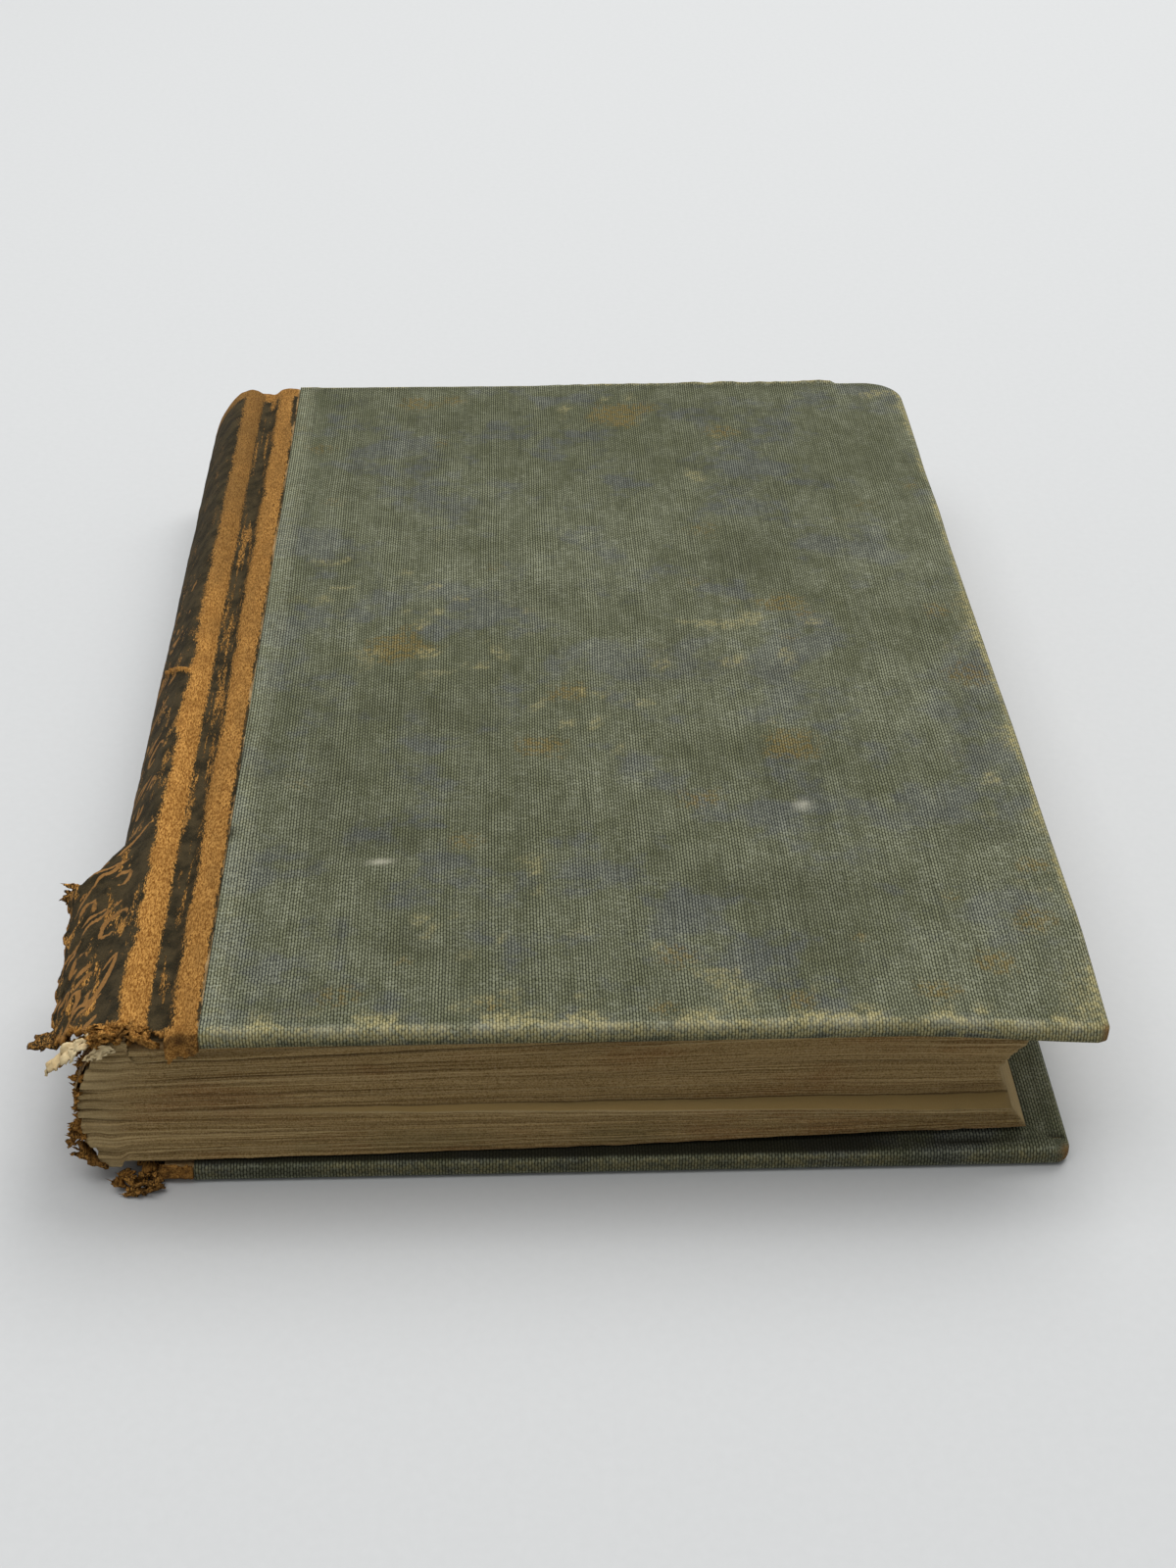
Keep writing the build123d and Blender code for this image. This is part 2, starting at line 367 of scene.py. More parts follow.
def cloth_finish():
    """Book cloth: pale upright threads over dark gaps, rubbed, stained, soiled and faded, with painted
    shade on its lower edges, in its creases and on its turn-ins.
    """
    f = Finish("book_cloth")
    flat = f.unrolled()
    split = f.add("ShaderNodeSeparateXYZ", Vector=flat)
    sway = f.swing(f.noise(flat, (0.03, 0.012, 0.0), 2.0), 2.2)
    jitter = f.swing(f.noise(flat, (0.9, 0.5, 0.0), 2.0), 0.22)
    across = f.math("DIVIDE", f.plus(split.outputs[0], f.plus(sway, jitter)), THREAD_PITCH)
    column = f.math("FLOOR", across)
    chance = f.add("ShaderNodeTexWhiteNoise", {"noise_dimensions": "1D"}, W=column).outputs[0]
    lift = f.times(f.math("FLOORED_MODULO", column, 2.0), 0.5)
    along = f.math("DIVIDE", f.plus(split.outputs[1], f.times(jitter, 1.6)), BEAD_LENGTH)
    bead = f.round_trip(f.plus(f.plus(along, lift), f.times(chance, 0.25)))
    weave = f.times(f.round_trip(across), f.plus(f.times(bead, 0.6), 0.4))
    raised = f.clamp(weave, 0.1, 0.8)

    fibre = f.noise(flat, (2.2, 2.2, 0.0), 4.0, 0.7)
    pick = f.noise(flat, (0.45, 1.9, 0.0), 4.0, 0.65)
    streak = f.noise(flat, (1.5, 0.12, 0.0), 3.0, 0.6)
    blotch = f.noise(flat, (0.05, 0.04, 0.0), 6.0, 0.66)
    cloud = f.noise(flat, (0.16, 0.12, 0.0), 5.0, 0.7)
    speck = f.clamp(f.noise(flat, (0.9, 0.9, 0.0), 5.0, 0.7), 0.4, 0.6)
    cool = f.clamp(f.noise(flat, (0.04, 0.045, 0.0), 5.0, 0.7), 0.5, 0.6)
    uneven = f.plus(f.swing(cloud, 0.75), f.swing(blotch, 0.5))
    rubbed = f.clamp(f.plus(f.layer("rubbed"), uneven), 0.1, 0.9)

    # gap: the dark between the threads is painted shade; raised threads take the lighter colours
    gap = f.mix(cool, (36, 37, 23), (33, 35, 36))
    face = f.mix(f.clamp(cloud, 0.36, 0.64), (104, 106, 80), (113, 115, 91))
    face = f.mix(f.times(cool, 0.6), face, (103, 106, 108))
    face = f.mix(f.times(rubbed, 0.62), face, (162, 164, 138))
    face = f.mix(f.times(f.plus(chance, -0.3), 0.35), face, (74, 76, 58))
    colour = f.mix(f.clamp(weave, 0.10, 0.84), gap, face)
    flecks = f.times(f.clamp(pick, 0.5, 0.68), f.plus(f.times(rubbed, 0.5), 0.1))
    colour = f.mix(flecks, colour, (158, 160, 140))
    colour = f.stain(colour, (54, 56, 42), streak, 0.45, 0.72, 0.34)
    colour = f.stain(colour, (52, 54, 40), fibre, 0.45, 0.68, 0.3)
    foxed = f.times(f.layer("foxed"), f.plus(f.times(speck, 0.9), 0.25))
    colour = f.stain(colour, f.mix(raised, (64, 53, 22), (132, 112, 60)), foxed, 0.12, 0.6, 0.62)
    yellow = f.times(f.layer("yellowed"), f.plus(f.times(speck, 0.9), 0.35))
    colour = f.stain(colour, f.mix(raised, (98, 90, 54), (168, 160, 118)), yellow, 0.0, 1.0)
    # soil_and_shade: real soil, and painted shade on the covers' lower edges, at the lap step, in a hole,
    # in the back's crease and on its turn-ins under the leaves
    colour = f.mix(f.layer("soil_and_shade"), colour, (30, 28, 18))
    colour = f.mix(f.layer("bare"), colour, f.mix(fibre, (84, 54, 24), (158, 118, 68)))
    colour = f.mix(f.layer("pale"), colour, (196, 192, 172))
    return f.done(colour, 0.95, f.plus(weave, f.times(fibre, 0.5)), 0.12, 0.85)


def leather_finish(name, suede=0.0):
    """Calf gone to red rot: a dark skin, worn through to orange suede."""
    f = Finish(name)
    spot = f.place()
    grain = f.noise(spot, 2.0, 5.0, 0.7)
    fine = f.noise(spot, 5.5, 4.0, 0.75)
    nap = f.noise(spot, (4.5, 1.3, 4.5), 4.0, 0.7)
    broad = f.noise(spot, 0.25, 5.0, 0.65)
    skin = f.mix(f.clamp(broad, 0.38, 0.62), (40, 36, 23), (70, 60, 40))
    skin = f.stain(skin, (110, 90, 58), fine, 0.48, 0.7, 0.42)
    skin = f.stain(skin, (32, 26, 14), grain, 0.5, 0.68, 0.5)
    orange = f.mix(f.clamp(nap, 0.38, 0.62), (128, 80, 26), (216, 160, 84))
    orange = f.stain(orange, (128, 84, 32), broad, 0.45, 0.68, 0.45)
    orange = f.stain(orange, (96, 60, 22), fine, 0.55, 0.7, 0.5)
    dull = f.mix(f.clamp(nap, 0.34, 0.66), (98, 68, 28), (140, 104, 56))
    orange = f.stain(orange, dull, f.layer("dulled"), 0.0, 1.0)
    ragged = f.plus(f.plus(f.layer("worn"), suede), f.swing(nap, 1.9))
    share = f.clamp(f.plus(ragged, f.swing(broad, 0.5)), 0.36, 0.66)
    colour = f.mix(share, skin, orange)
    tool = f.clamp(f.plus(f.layer("tooled"), f.swing(nap, 1.0)), 0.4, 0.68)
    colour = f.mix(f.times(tool, 0.8), colour, f.mix(grain, (128, 88, 44), (190, 140, 80)))
    colour = f.mix(f.layer("charred"), colour, f.mix(grain, (30, 20, 9), (72, 44, 18)))
    height = f.plus(f.plus(f.times(grain, 0.7), f.times(fine, 0.5)), f.times(share, 0.35))
    height = f.plus(f.plus(height, f.times(nap, 0.5)), f.times(tool, 0.15))
    return f.done(colour, 0.9, height, 0.45, 0.9)


def leaves_finish():
    """Leaf edges as fine broken lines, and toned paper on the outer leaves."""
    f = Finish("leaves")
    flat = f.unrolled()  # along the leaves in mm, and through them in leaves
    fine = f.noise(flat, (0.03, 0.9, 0.0), 4.0, 0.7)
    group = f.noise(flat, (0.01, 0.16, 0.0), 3.0, 0.6)
    line = f.noise(flat, (0.008, 0.5, 0.0), 3.0, 0.6)
    spot = f.place()
    fuzz = f.noise(spot, 3.4, 6.0, 0.75)
    broad = f.noise(spot, (0.05, 0.05, 0.16), 4.0, 0.65)
    edge = f.mix(f.clamp(fine, 0.36, 0.64), (120, 94, 52), (180, 152, 102))
    edge = f.stain(edge, (70, 48, 24), fine, 0.6, 0.7, 0.7)
    edge = f.stain(edge, (168, 142, 98), group, 0.45, 0.7, 0.5)
    edge = f.stain(edge, (140, 98, 56), broad, 0.5, 0.7, 0.5)
    edge = f.stain(edge, (82, 62, 34), fuzz, 0.5, 0.62, 0.6)
    edge = f.stain(edge, (188, 164, 122), f.math("SUBTRACT", 1.0, fuzz), 0.5, 0.62, 0.45)
    edge = f.mix(f.times(f.layer("greened"), 0.4), edge, (104, 98, 62))
    edge = f.mix(f.layer("reddened"), edge, (98, 52, 24))
    edge = f.stain(edge, (62, 42, 20), line, 0.55, 0.64, 0.6)
    edge = f.stain(edge, (206, 180, 130), f.math("SUBTRACT", 1.0, line), 0.55, 0.66, 0.5)
    # paler leaves, and painted highlight on the lobes near the back
    edge = f.mix(f.layer("paler_and_highlit"), edge, f.mix(fine, (164, 140, 96), (206, 184, 138)))
    edge = f.mix(f.layer("shelf"), edge, f.mix(fuzz, (164, 136, 84), (180, 152, 100)))
    # painted shade in the clefts and gaps between leaves
    edge = f.mix(f.layer("crevice_shade"), edge, (40, 28, 14))
    foxing = f.noise(spot, 0.13, 4.0, 0.7)
    paper = f.mix(f.clamp(broad, 0.35, 0.65), (205, 188, 150), (190, 168, 126))
    paper = f.stain(paper, (150, 110, 66), foxing, 0.6, 0.74, 0.5)
    paper = f.mix(f.layer("toned"), paper, (146, 112, 70))
    colour = f.mix(f.layer("page"), edge, paper)
    cut = f.math("SUBTRACT", 1.0, f.layer("page"))
    height = f.plus(f.times(f.times(fine, cut), 0.8), f.times(fuzz, 0.7))
    return f.done(colour, 0.95, height, 0.3, 0.85)


def paper_finish(name, dark, light, toned):
    """Endpaper or lining paper, browned in clouds and foxed in spots."""
    f = Finish(name)
    spot = f.place()
    broad = f.noise(spot, 0.05, 4.0, 0.6)
    fuzz = f.noise(spot, 2.4, 5.0, 0.7)
    foxing = f.noise(spot, 0.16, 4.0, 0.7)
    colour = f.mix(f.clamp(broad, 0.35, 0.65), dark, light)
    colour = f.stain(colour, toned, foxing, 0.58, 0.72, 0.55)
    colour = f.stain(colour, toned, fuzz, 0.5, 0.7, 0.25)
    return f.done(colour, 0.94, fuzz, 0.08, 0.6)


def board_finish():
    """Pulp board, in layers."""
    f = Finish("pulp_board")
    spot = f.place()
    layers = f.noise(spot, (0.25, 0.25, 5.0), 4.0, 0.7)
    fuzz = f.noise(spot, 2.8, 5.0, 0.75)
    colour = f.mix(f.clamp(layers, 0.35, 0.65), (118, 92, 58), (168, 140, 98))
    colour = f.stain(colour, (92, 70, 44), fuzz, 0.5, 0.72, 0.5)
    return f.done(colour, 0.96, f.plus(layers, fuzz), 0.2, 0.9)


def lining_finish():
    """Torn spine lining: brown paper with dark glue and crumbs of leather left on it."""
    f = Finish("spine_lining")
    spot = f.place()
    broad = f.noise(spot, 0.35, 5.0, 0.7)
    fuzz = f.noise(spot, 3.0, 5.0, 0.75)
    glue = f.noise(spot, 0.6, 4.0, 0.7)
    colour = f.mix(f.clamp(broad, 0.4, 0.6), (92, 62, 34), (168, 140, 98))
    colour = f.stain(colour, (62, 40, 20), fuzz, 0.48, 0.66, 0.6)
    colour = f.stain(colour, (128, 76, 34), glue, 0.55, 0.66, 0.8)
    return f.done(colour, 0.85, f.plus(broad, fuzz), 0.4, 0.9)


# ---------------------------------------------------------------- covers


class Outline:
    """A cover's outline: open at the spine side, with round fore-edge corners."""

    def __init__(self, x_low, x_high, tail, head, tail_radius, head_radius, step):
        self.x_low, self.x_high, self.tail, self.head = x_low, x_high, tail, head
        self.radii = (tail_radius, head_radius)
        self.step = step

    def top_grid(self, inset):
        """Points of a flat grid that fills the outline, inset on three sides."""
        x_high, tail, head = self.x_high - inset, self.tail + inset, self.head - inset
        columns = self.lines(self.x_low, x_high, self.step, max(self.radii) - inset)
        rows = self.lines(tail, head, self.step, 0)
        x, y = np.meshgrid(columns, rows, indexing="ij")
        for side, radius in zip((-1, 1), self.radii):
            radius -= inset
            edge = tail if side < 0 else head
            u = np.clip((x - (x_high - radius)) / radius, 0, 1)
            v = np.clip(side * (y - (edge - side * radius)) / radius, 0, 1)
            inside = (u > 0) & (v > 0)
            x = np.where(inside, x_high - radius + radius * u * np.sqrt(1 - v * v / 2), x)
            y = np.where(inside, edge - side * radius + side * radius * v * np.sqrt(1 - u * u / 2), y)
        return x, y

    @staticmethod
    def lines(low, high, step, fine_end):
        """Grid lines, closer together over the last fine_end millimetres and at both rims."""
        rim = 2.4
        middle = np.linspace(low + rim, high - rim - fine_end, max(2, round((high - low) / step)))
        start = np.linspace(low, low + rim, 6)[:-1]
        finish = np.linspace(high - rim - fine_end, high, max(6, round((rim + fine_end) / 0.5)))[1:]
        return np.concatenate((start, middle, finish))

    def ring(self, base_x, base_y, inset, offset):
        """The rim points of the inset grid, moved outwards by offset with mitred corners."""
        x_high, tail, head = self.x_high - inset, self.tail + inset, self.head - inset
        x, y = base_x.copy(), base_y.copy()
        for side, radius in zip((-1, 1), self.radii):
            radius -= inset
            edge = tail if side < 0 else head
            centre = (x_high - radius, edge - side * radius)
            in_corner = (base_x > centre[0] + 1e-6) & (side * (base_y - centre[1]) > 1e-6)
            ahead = np.hypot(base_x - centre[0], base_y - centre[1])
            reach = max(radius + offset, 0.02)
            x = np.where(in_corner, centre[0] + (base_x - centre[0]) / np.maximum(ahead, 1e-6) * reach, x)
            y = np.where(in_corner, centre[1] + (base_y - centre[1]) / np.maximum(ahead, 1e-6) * reach, y)
            on_edge = ~in_corner & (np.abs(base_y - edge) < 1e-6)
            y = np.where(on_edge, base_y + side * offset, y)
        fore = np.abs(base_x - x_high) < 1e-6
        x = np.where(fore, base_x + offset, x)
        if offset < 0:
            x = np.minimum(x, x_high + offset)
            y = np.clip(y, tail - offset, head + offset)
        return x, y


def cover_skin(name, outline, z_out, inward, edge_radius, thickness, turn_in, shape, layers):
    """A sheet over a board's outer face, round its three edges and onto its inside.

    shape(points) moves points of x, y and depth, and layers(x, y, depth) gives the vertex
    layers."""
    x, y = outline.top_grid(edge_radius)
    columns, rows = x.shape
    index = np.arange(columns * rows).reshape(columns, rows)
    rim = np.concatenate((index[:-1, 0], index[-1, :-1], index[::-1, -1]))
    faces = [grid_faces(index)]
    points = [np.stack((x, y, np.zeros_like(x)), -1).reshape(-1, 3)]
    uvs = [np.stack((x, y), -1).reshape(-1, 2)]
    base = points[0][rim]
    quarter = np.radians(np.linspace(0, 90, 7)[1:])
    profile = [(edge_radius * math.sin(a), edge_radius * (1 - math.cos(a))) for a in quarter]
    flat = thickness - 2 * edge_radius
    profile += [(edge_radius, edge_radius + flat * k / 3) for k in (1, 2, 3)]
    profile += [
        (edge_radius * math.cos(a), thickness - edge_radius * (1 - math.sin(a))) for a in quarter
    ]
    profile += [(-d, thickness) for d in np.linspace(0, turn_in - edge_radius, 7)[1:]]
    travelled, last, before = 0.0, (0.0, 0.0), rim
    count = columns * rows
    outward_x, outward_y = outline.ring(base[:, 0], base[:, 1], edge_radius, 1.0)
    outward = np.stack((outward_x - base[:, 0], outward_y - base[:, 1]), -1)
    for offset, depth in profile:
        travelled += math.hypot(offset - last[0], depth - last[1])
        ring_x, ring_y = outline.ring(base[:, 0], base[:, 1], edge_radius, offset)
        points.append(np.stack((ring_x, ring_y, np.full(len(rim), depth)), -1))
        uvs.append(base[:, :2] + outward * travelled)
        now = np.arange(count, count + len(rim))
        faces.append(grid_faces(np.stack((now, before), 1)))
        count += len(rim)
        before, last = now, (offset, depth)
    points, uv = np.vstack(points), np.vstack(uvs)
    made = layers(points[:, 0], points[:, 1], points[:, 2])
    moved = shape(points)
    moved[:, 2] = z_out + inward * moved[:, 2]
    faces = np.vstack(faces)
    if inward > 0:
        faces = faces[:, ::-1]
    return make_piece(name, moved, faces, uv, made, merge=0.004)


FOXING = (  # x, y, radius, strength of the stains on the front cover, in millimetres
    (-37, -3, 7.0, 0.75), (-35, 3, 4.0, 0.4), (9, 96, 8.0, 0.8), (14, 99, 5.0, 0.6),
    (-36, 103, 6.0, 0.5), (-28, 104, 5.0, 0.45), (32, 87, 5.5, 0.5), (-30, 82, 4.0, 0.35),
    (36, 12, 6.0, 0.55), (40, 8, 3.0, 0.5), (37, -1, 3.0, 0.4), (-5, -20, 5.0, 0.6),
    (-10, -37, 5.5, 0.6), (33, -38, 6.5, 0.75), (36, -34, 3.5, 0.4), (16, -54, 5.0, 0.5),
    (-24, -65, 4.0, 0.45), (9, -96, 5.0, 0.45), (-43, -104, 5.0, 0.45), (66, 8, 5.0, 0.45),
    (24, 42, 6.0, 0.35), (58, 52, 5.0, 0.3), (-52, 56, 4.0, 0.35), (-19, 27, 4.0, 0.3),
    (20, 20, 4.5, 0.3), (68, -15, 6.0, 0.5), (69, 60, 4.0, 0.4), (60, -42, 5.0, 0.25),
    (-52, -48, 4.0, 0.3), (-56, 80, 5.0, 0.4), (58, -98, 4.5, 0.6), (66, -88, 5.0, 0.55),
    (48, -105, 4.0, 0.6), (69, -74, 4.0, 0.5), (27, -107, 4.0, 0.55), (38, -92, 2.5, 0.4),
    (6, -108, 3.5, 0.5), (-20, -107, 3.5, 0.45), (54, -82, 2.5, 0.4), (-33, -96, 3.0, 0.35),
)


def stains(x, y, spots, seed):
    """Ragged round stains: 0 off them, and a spot's strength at its middle."""
    total = np.zeros(np.shape(x))
    for number, (cx, cy, radius, strength) in enumerate(spots):
        ragged = 1 + 0.55 * noise(x / radius * 1.6, y / radius * 1.6, seed=seed + number, octaves=3)
        distance = np.hypot((x - cx) / 1.25, y - cy) / (radius * ragged)
        total = np.maximum(total, strength * fade(distance, 0.15, 1.15))
    return total


def rim_distance(x, y, outline):
    """How far a point is inside the three covered edges, in millimetres."""
    side = np.minimum(outline.head - y, y - outline.tail)
    return np.maximum(np.minimum(side, outline.x_high - x), 0)


def on_lip(x):
    """1 along the frayed part of the front cover's head edge."""
    return smooth(x, -12, -2) * fade(x, 58.4, 59.4)


def front_cloth():
    """The front cover's cloth: rubbed, foxed, raised over the leather and frayed at the head."""
    outline = Outline(cloth_low[0], cloth_high[0], TAIL, HEAD, 1.7, 8.0, 1.35)

    def shape(points):
        x, y, depth = points.T.copy()
        outside = depth < 1.0
        raised = fade(x - outline.x_low, LAP - 0.3, LAP + 0.35) * outside
        flat = 0.05 * noise(x / 9, y / 11, seed=3, octaves=3) + 0.03 * noise(x / 2.2, y / 2.2, seed=5)
        depth = depth - 0.16 * raised + flat * outside
        depth = depth + front_droop(x, y)
        growth = 0.35 + 0.75 * smooth(x, -10, 57)
        frill = on_lip(x) * smooth(y, HEAD - 1.8, HEAD - 0.4)
        frayed = growth * (0.75 + 0.35 * noise(x / 2.3, seed=11, octaves=3))
        depth = depth - frill * frayed * (depth < 2.0)
        y = y + frill * 0.25 * noise(x / 1.2, depth, seed=12, octaves=2)
        fold = bell(y, outline.tail + 0.6, 1.4) * (depth < 1.2)
        depth = depth + 0.10 * fold * noise(x / 3.1, seed=14, octaves=3)
        sway = smooth(x, outline.x_high - 3, outline.x_high) * 0.35 * noise(y / 34, seed=15, octaves=2)
        return np.stack((x + sway, y, depth), -1)

    def layers(x, y, depth):
        inside = rim_distance(x, y, outline)
        lap = fade(x - outline.x_low, LAP - 0.5, LAP + 0.4)
        outside = (depth < 1.0) * 1.0
        lap_line = bell(x - outline.x_low, LAP + 0.1, 0.35) * outside
        edge = fade(inside, 0.4, 2.2) * fade(depth, 1.0, 2.2)
        worn_corner = fade(np.hypot(x - 73.6, y + 112.6), 0.8, 2.0)
        worn_corner *= patches(-0.6, 0.1, x / 0.9, y / 0.9, depth, seed=32, octaves=2)
        head_corner = fade(np.hypot(x - 69.5, y - 108.5), 2.0, 5.5)
        lip = on_lip(x) * smooth(y, HEAD - 1.5, HEAD - 0.3)
        rubbed = 0.40 + 0.2 * noise(x / 30, y / 24, seed=21, octaves=4)
        rubbed += 0.32 * lap + 0.6 * edge * (0.7 + 0.6 * noise(x / 4, y / 4, seed=22, octaves=3))
        rubbed += 0.06 * smooth(x, 15, 70) * fade(y, -70, -20)
        rubbed -= 0.06 * smooth(y, 20, 100)
        near_tail = fade(y, -111.5, -105.5)
        tail_side = smooth(depth, 0.3, 0.9) * (y < outline.tail + 0.5)
        yellowed = 0.95 * edge * (0.7 + 0.8 * noise(x / 6, y / 6, seed=24, octaves=3))
        yellowed += tail_side * (0.45 + 0.5 * noise(x / 5, depth, seed=36, octaves=3))
        yellowed += 0.8 * near_tail * patches(-0.05, 0.25, x / 6, y / 5, seed=25, octaves=4)
        small = patches(0.3, 0.45, x / 6, y / 5, seed=33, octaves=4)
        yellowed += 0.45 * small * patches(-0.1, 0.4, x / 25, y / 25, seed=34, octaves=1)
        yellowed += 0.5 * smooth(x, 62, 73) * fade(y, -108, -88)
        yellowed += 0.22 * lap * (0.7 + 0.5 * noise(x / 3, y / 14, seed=26, octaves=3))
        yellowed += 0.55 * smooth(x, 67, 73) * patches(0.0, 0.6, y / 9, seed=27)
        soil_and_shade = 0.16 * patches(0.05, 0.6, x / 16, y / 13, seed=28, octaves=4)
        # painted shade on the lower part of the cover's edge, where it turns under, and a painted shadow
        # line at the step where the cloth comes down off the leather
        soil_and_shade += 0.3 * smooth(depth, 1.4, 2.4) * fade(depth, 3.3, 3.5) + 0.5 * lap_line
        # dark_hole: painted shade, near black, in a small hole through the cloth
        dark_hole = bell(np.hypot(x + 62.4, (y + 62) / 1.6), 0, 0.9)
        soil_and_shade += 0.9 * dark_hole + 0.25 * smooth(y, 108, 112) * (1 - edge)
        foxed = stains(x, y, FOXING, 40) * outside
        foxed += 0.9 * lip + 0.35 * smooth(x, 68, 73) * patches(0.2, 0.7, y / 5, seed=31)
        scratch = bell(y + 70.0 - 0.06 * (x + 37), 0, 0.4) * bell(x, -37, 1.8)
        spot = bell(np.hypot(x - 33, y + 56), 0, 1.3)
        tail_fold = bell(y, TAIL + 0.7, 0.9) * (depth < 1.2)
        tail_fold *= patches(-0.5, 0.5, x / 2.2, seed=35)
        return {
            "rubbed": np.clip(rubbed, 0, 1), "yellowed": np.clip(yellowed, 0, 0.8),
            "soil_and_shade": np.clip(soil_and_shade, 0, 0.92), "foxed": np.clip(foxed, 0, 1),
            "bare": np.clip(0.95 * worn_corner + 0.25 * head_corner * edge, 0, 1),
            "pale": np.clip(0.9 * scratch + 0.5 * spot + 0.15 * tail_fold, 0, 1),
        }

    return cloth_over("front_cloth", outline, TOP, -1, shape, layers)


def front_droop(x, y):
    """How far the front cover sags at its tail fore-edge corner, and its bow at the tail."""
    corner = smooth(x, 40, 78) * fade(y, -116, -82)
    return 2.3 * corner + 0.15 * bell(x, 8, 30) * fade(y, -112, -90)


def back_crease(x, y, width):
    """1 on the crease inside the back cover, which slants in from the tail."""
    return bell(y - (TAIL + 2.3 + 0.9 * smooth(x, 45, 68)), 0, width)


def back_cloth():
    """The back cover's cloth, creased inside near its tail corner."""
    outline = Outline(back_cloth_low[0], back_cloth_high[0], TAIL, HEAD, 2.5, 2.5, 1.9)

    def shape(points):
        x, y, depth = points.T.copy()
        outside = depth < 1.0
        depth = depth + 0.06 * (0.5 + 0.5 * noise(x / 9, y / 11, seed=53, octaves=3)) * outside
        inner = smooth(depth, 3.2, 3.4)
        crease = back_crease(x, y, 0.35)
        depth = depth - inner * crease * 0.5 * smooth(x, 40, 58)
        wave = 0.12 * noise(x / 5, y / 5, seed=54, octaves=2)
        depth = np.maximum(depth + inner * wave, 0.0)
        return np.stack((x, y, depth), -1)

    def layers(x, y, depth):
        inside = rim_distance(x, y, outline)
        edge = fade(inside, 0.3, 1.8)
        tip = fade(np.hypot(x - 70.4, y + 112.4), 0.8, 2.2)
        tip *= patches(-0.6, 0.2, x / 0.9, y / 0.9, depth, seed=67, octaves=2)
        side = smooth(depth, 0.9, 1.4) * fade(depth, 2.6, 3.3)
        inner = smooth(depth, 3.1, 3.4)
        crease = back_crease(x, y, 0.45)
        rubbed = 0.38 + 0.25 * noise(x / 28, y / 22, seed=61, octaves=4) + 0.3 * edge * (1 - inner)
        yellowed = 0.4 * edge * (0.4 + 0.8 * noise(x / 7, y / 7, seed=62, octaves=3))
        yellowed += 0.7 * side * patches(-0.2, 0.4, x / 8, y / 6, seed=63)
        soil_and_shade = 0.18 * patches(0.0, 0.6, x / 16, y / 14, seed=64, octaves=4)
        # darker on the cover's edge faces; painted shade on the turn-ins inside, strongest at the tail and
        # head towards the spine, under the leaves
        soil_and_shade += 0.48 * side + inner * (0.15 + 0.75 * fade(x, 35, 55))
        # painted shadow along the crease inside the back cover
        soil_and_shade += 0.85 * inner * crease * smooth(x, 42, 56)
        spots = [(-18 * a + 7 * b, 90 * math.sin(3.7 * a + b), 4 + (a * b) % 4, 0.3 + 0.1 * (a % 4))
                 for a in range(-3, 4) for b in (-3, 2)]
        return {
            "rubbed": np.clip(rubbed, 0, 1), "yellowed": np.clip(yellowed, 0, 0.6),
            "soil_and_shade": np.clip(soil_and_shade, 0, 0.9), "foxed": stains(x, y, spots, 80) * (depth < 1.0),
            "bare": 0.8 * tip, "pale": np.zeros_like(x),
        }

    return cloth_over("back_cloth", outline, 0.0, 1, shape, layers)


def front_board():
    """The front board, short of the groove by 1.6 mm more than in the CAD part."""
    return bent_slab("front_board", (1.3, 7.6), -1, 0.9, 40.0, inset=1.6)


def front_pastedown():
    """The endpaper pasted inside the front board."""
    return bent_slab("front_pastedown", (0.8, 0.8), 1, 0.15, 60.0)


def cloth_over(node, outline, z_out, inward, shape, layers):
    """The cloth of one cover, turned in over its three edges."""
    size = (CLOTH_ROUND, WRAPPED, TURNED_IN)
    skin = cover_skin(node + "_cover", outline, z_out, inward, *size, shape, layers)
    thicken(skin, CLOTH)
    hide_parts(node)
    return skin


# ---------------------------------------------------------------- leather

FLAP_START = -55.0  # the spine's leather is whole from the head down to here
FLAP_LENGTH = 16.6  # from the ridge to the flap's torn edge
LEATHER = 0.8
PARED = 0.45  # leather that is pared thin on the boards


def sheet(name, path, rows, place, present, layers, thickness):
    """A leather sheet over a section path, from the tail to the head.

    place(s, y, point, normal) gives the points, present(s, y) where there is leather left."""
    s, y = np.meshgrid(path_lengths(path), rows, indexing="ij")
    point = np.repeat(path[:, None, :], len(rows), axis=1)
    normal = np.repeat(path_normals(path)[:, None, :], len(rows), axis=1)
    moved = place(s, y, point, normal)
    faces = shown_faces(np.arange(s.size).reshape(s.shape), present(s, y))
    made = layers(s, y, point)
    piece = make_piece(name, moved, faces[:, ::-1], np.stack((s, y), -1), made)
    thicken(piece, thickness)
    return piece


def spine_path():
    """The outer face of the spine's leather, from the front groove round to the back one."""
    arc = [
        SPINE_CENTRE + SPINE_RADIUS * np.array((math.cos(math.radians(a)), math.sin(math.radians(a))))
        for a in (132, 140, 150, 160, 170, 180, 190, 200, 210, 217)
    ]
    front = [(-70.2, 28.25), (-70.75, 28.5), (-71.35, 28.95), (-72.2, 29.5), (-73.3, 29.85), (-74.5, 29.6)]
    back = [(-77.6, 0.42), (-76.2, 0.2), (-75.0, 0.25), (-74.1, 0.7), (-73.8, 1.4), (-73.7, 2.2)]
    return smooth_path(front + [tuple(p) for p in arc] + back, 0.31)


def spine_rows():
    """Places along the spine, closer together where it is torn and over the head's edge."""
    wrap = np.linspace(0, 1, 12)[1:]
    body = np.concatenate((np.arange(-112.0, -2.0, 0.5), np.arange(-2.0, 111.0, 1.15)))
    return np.concatenate((body, 111.0 + 4.5 * wrap))


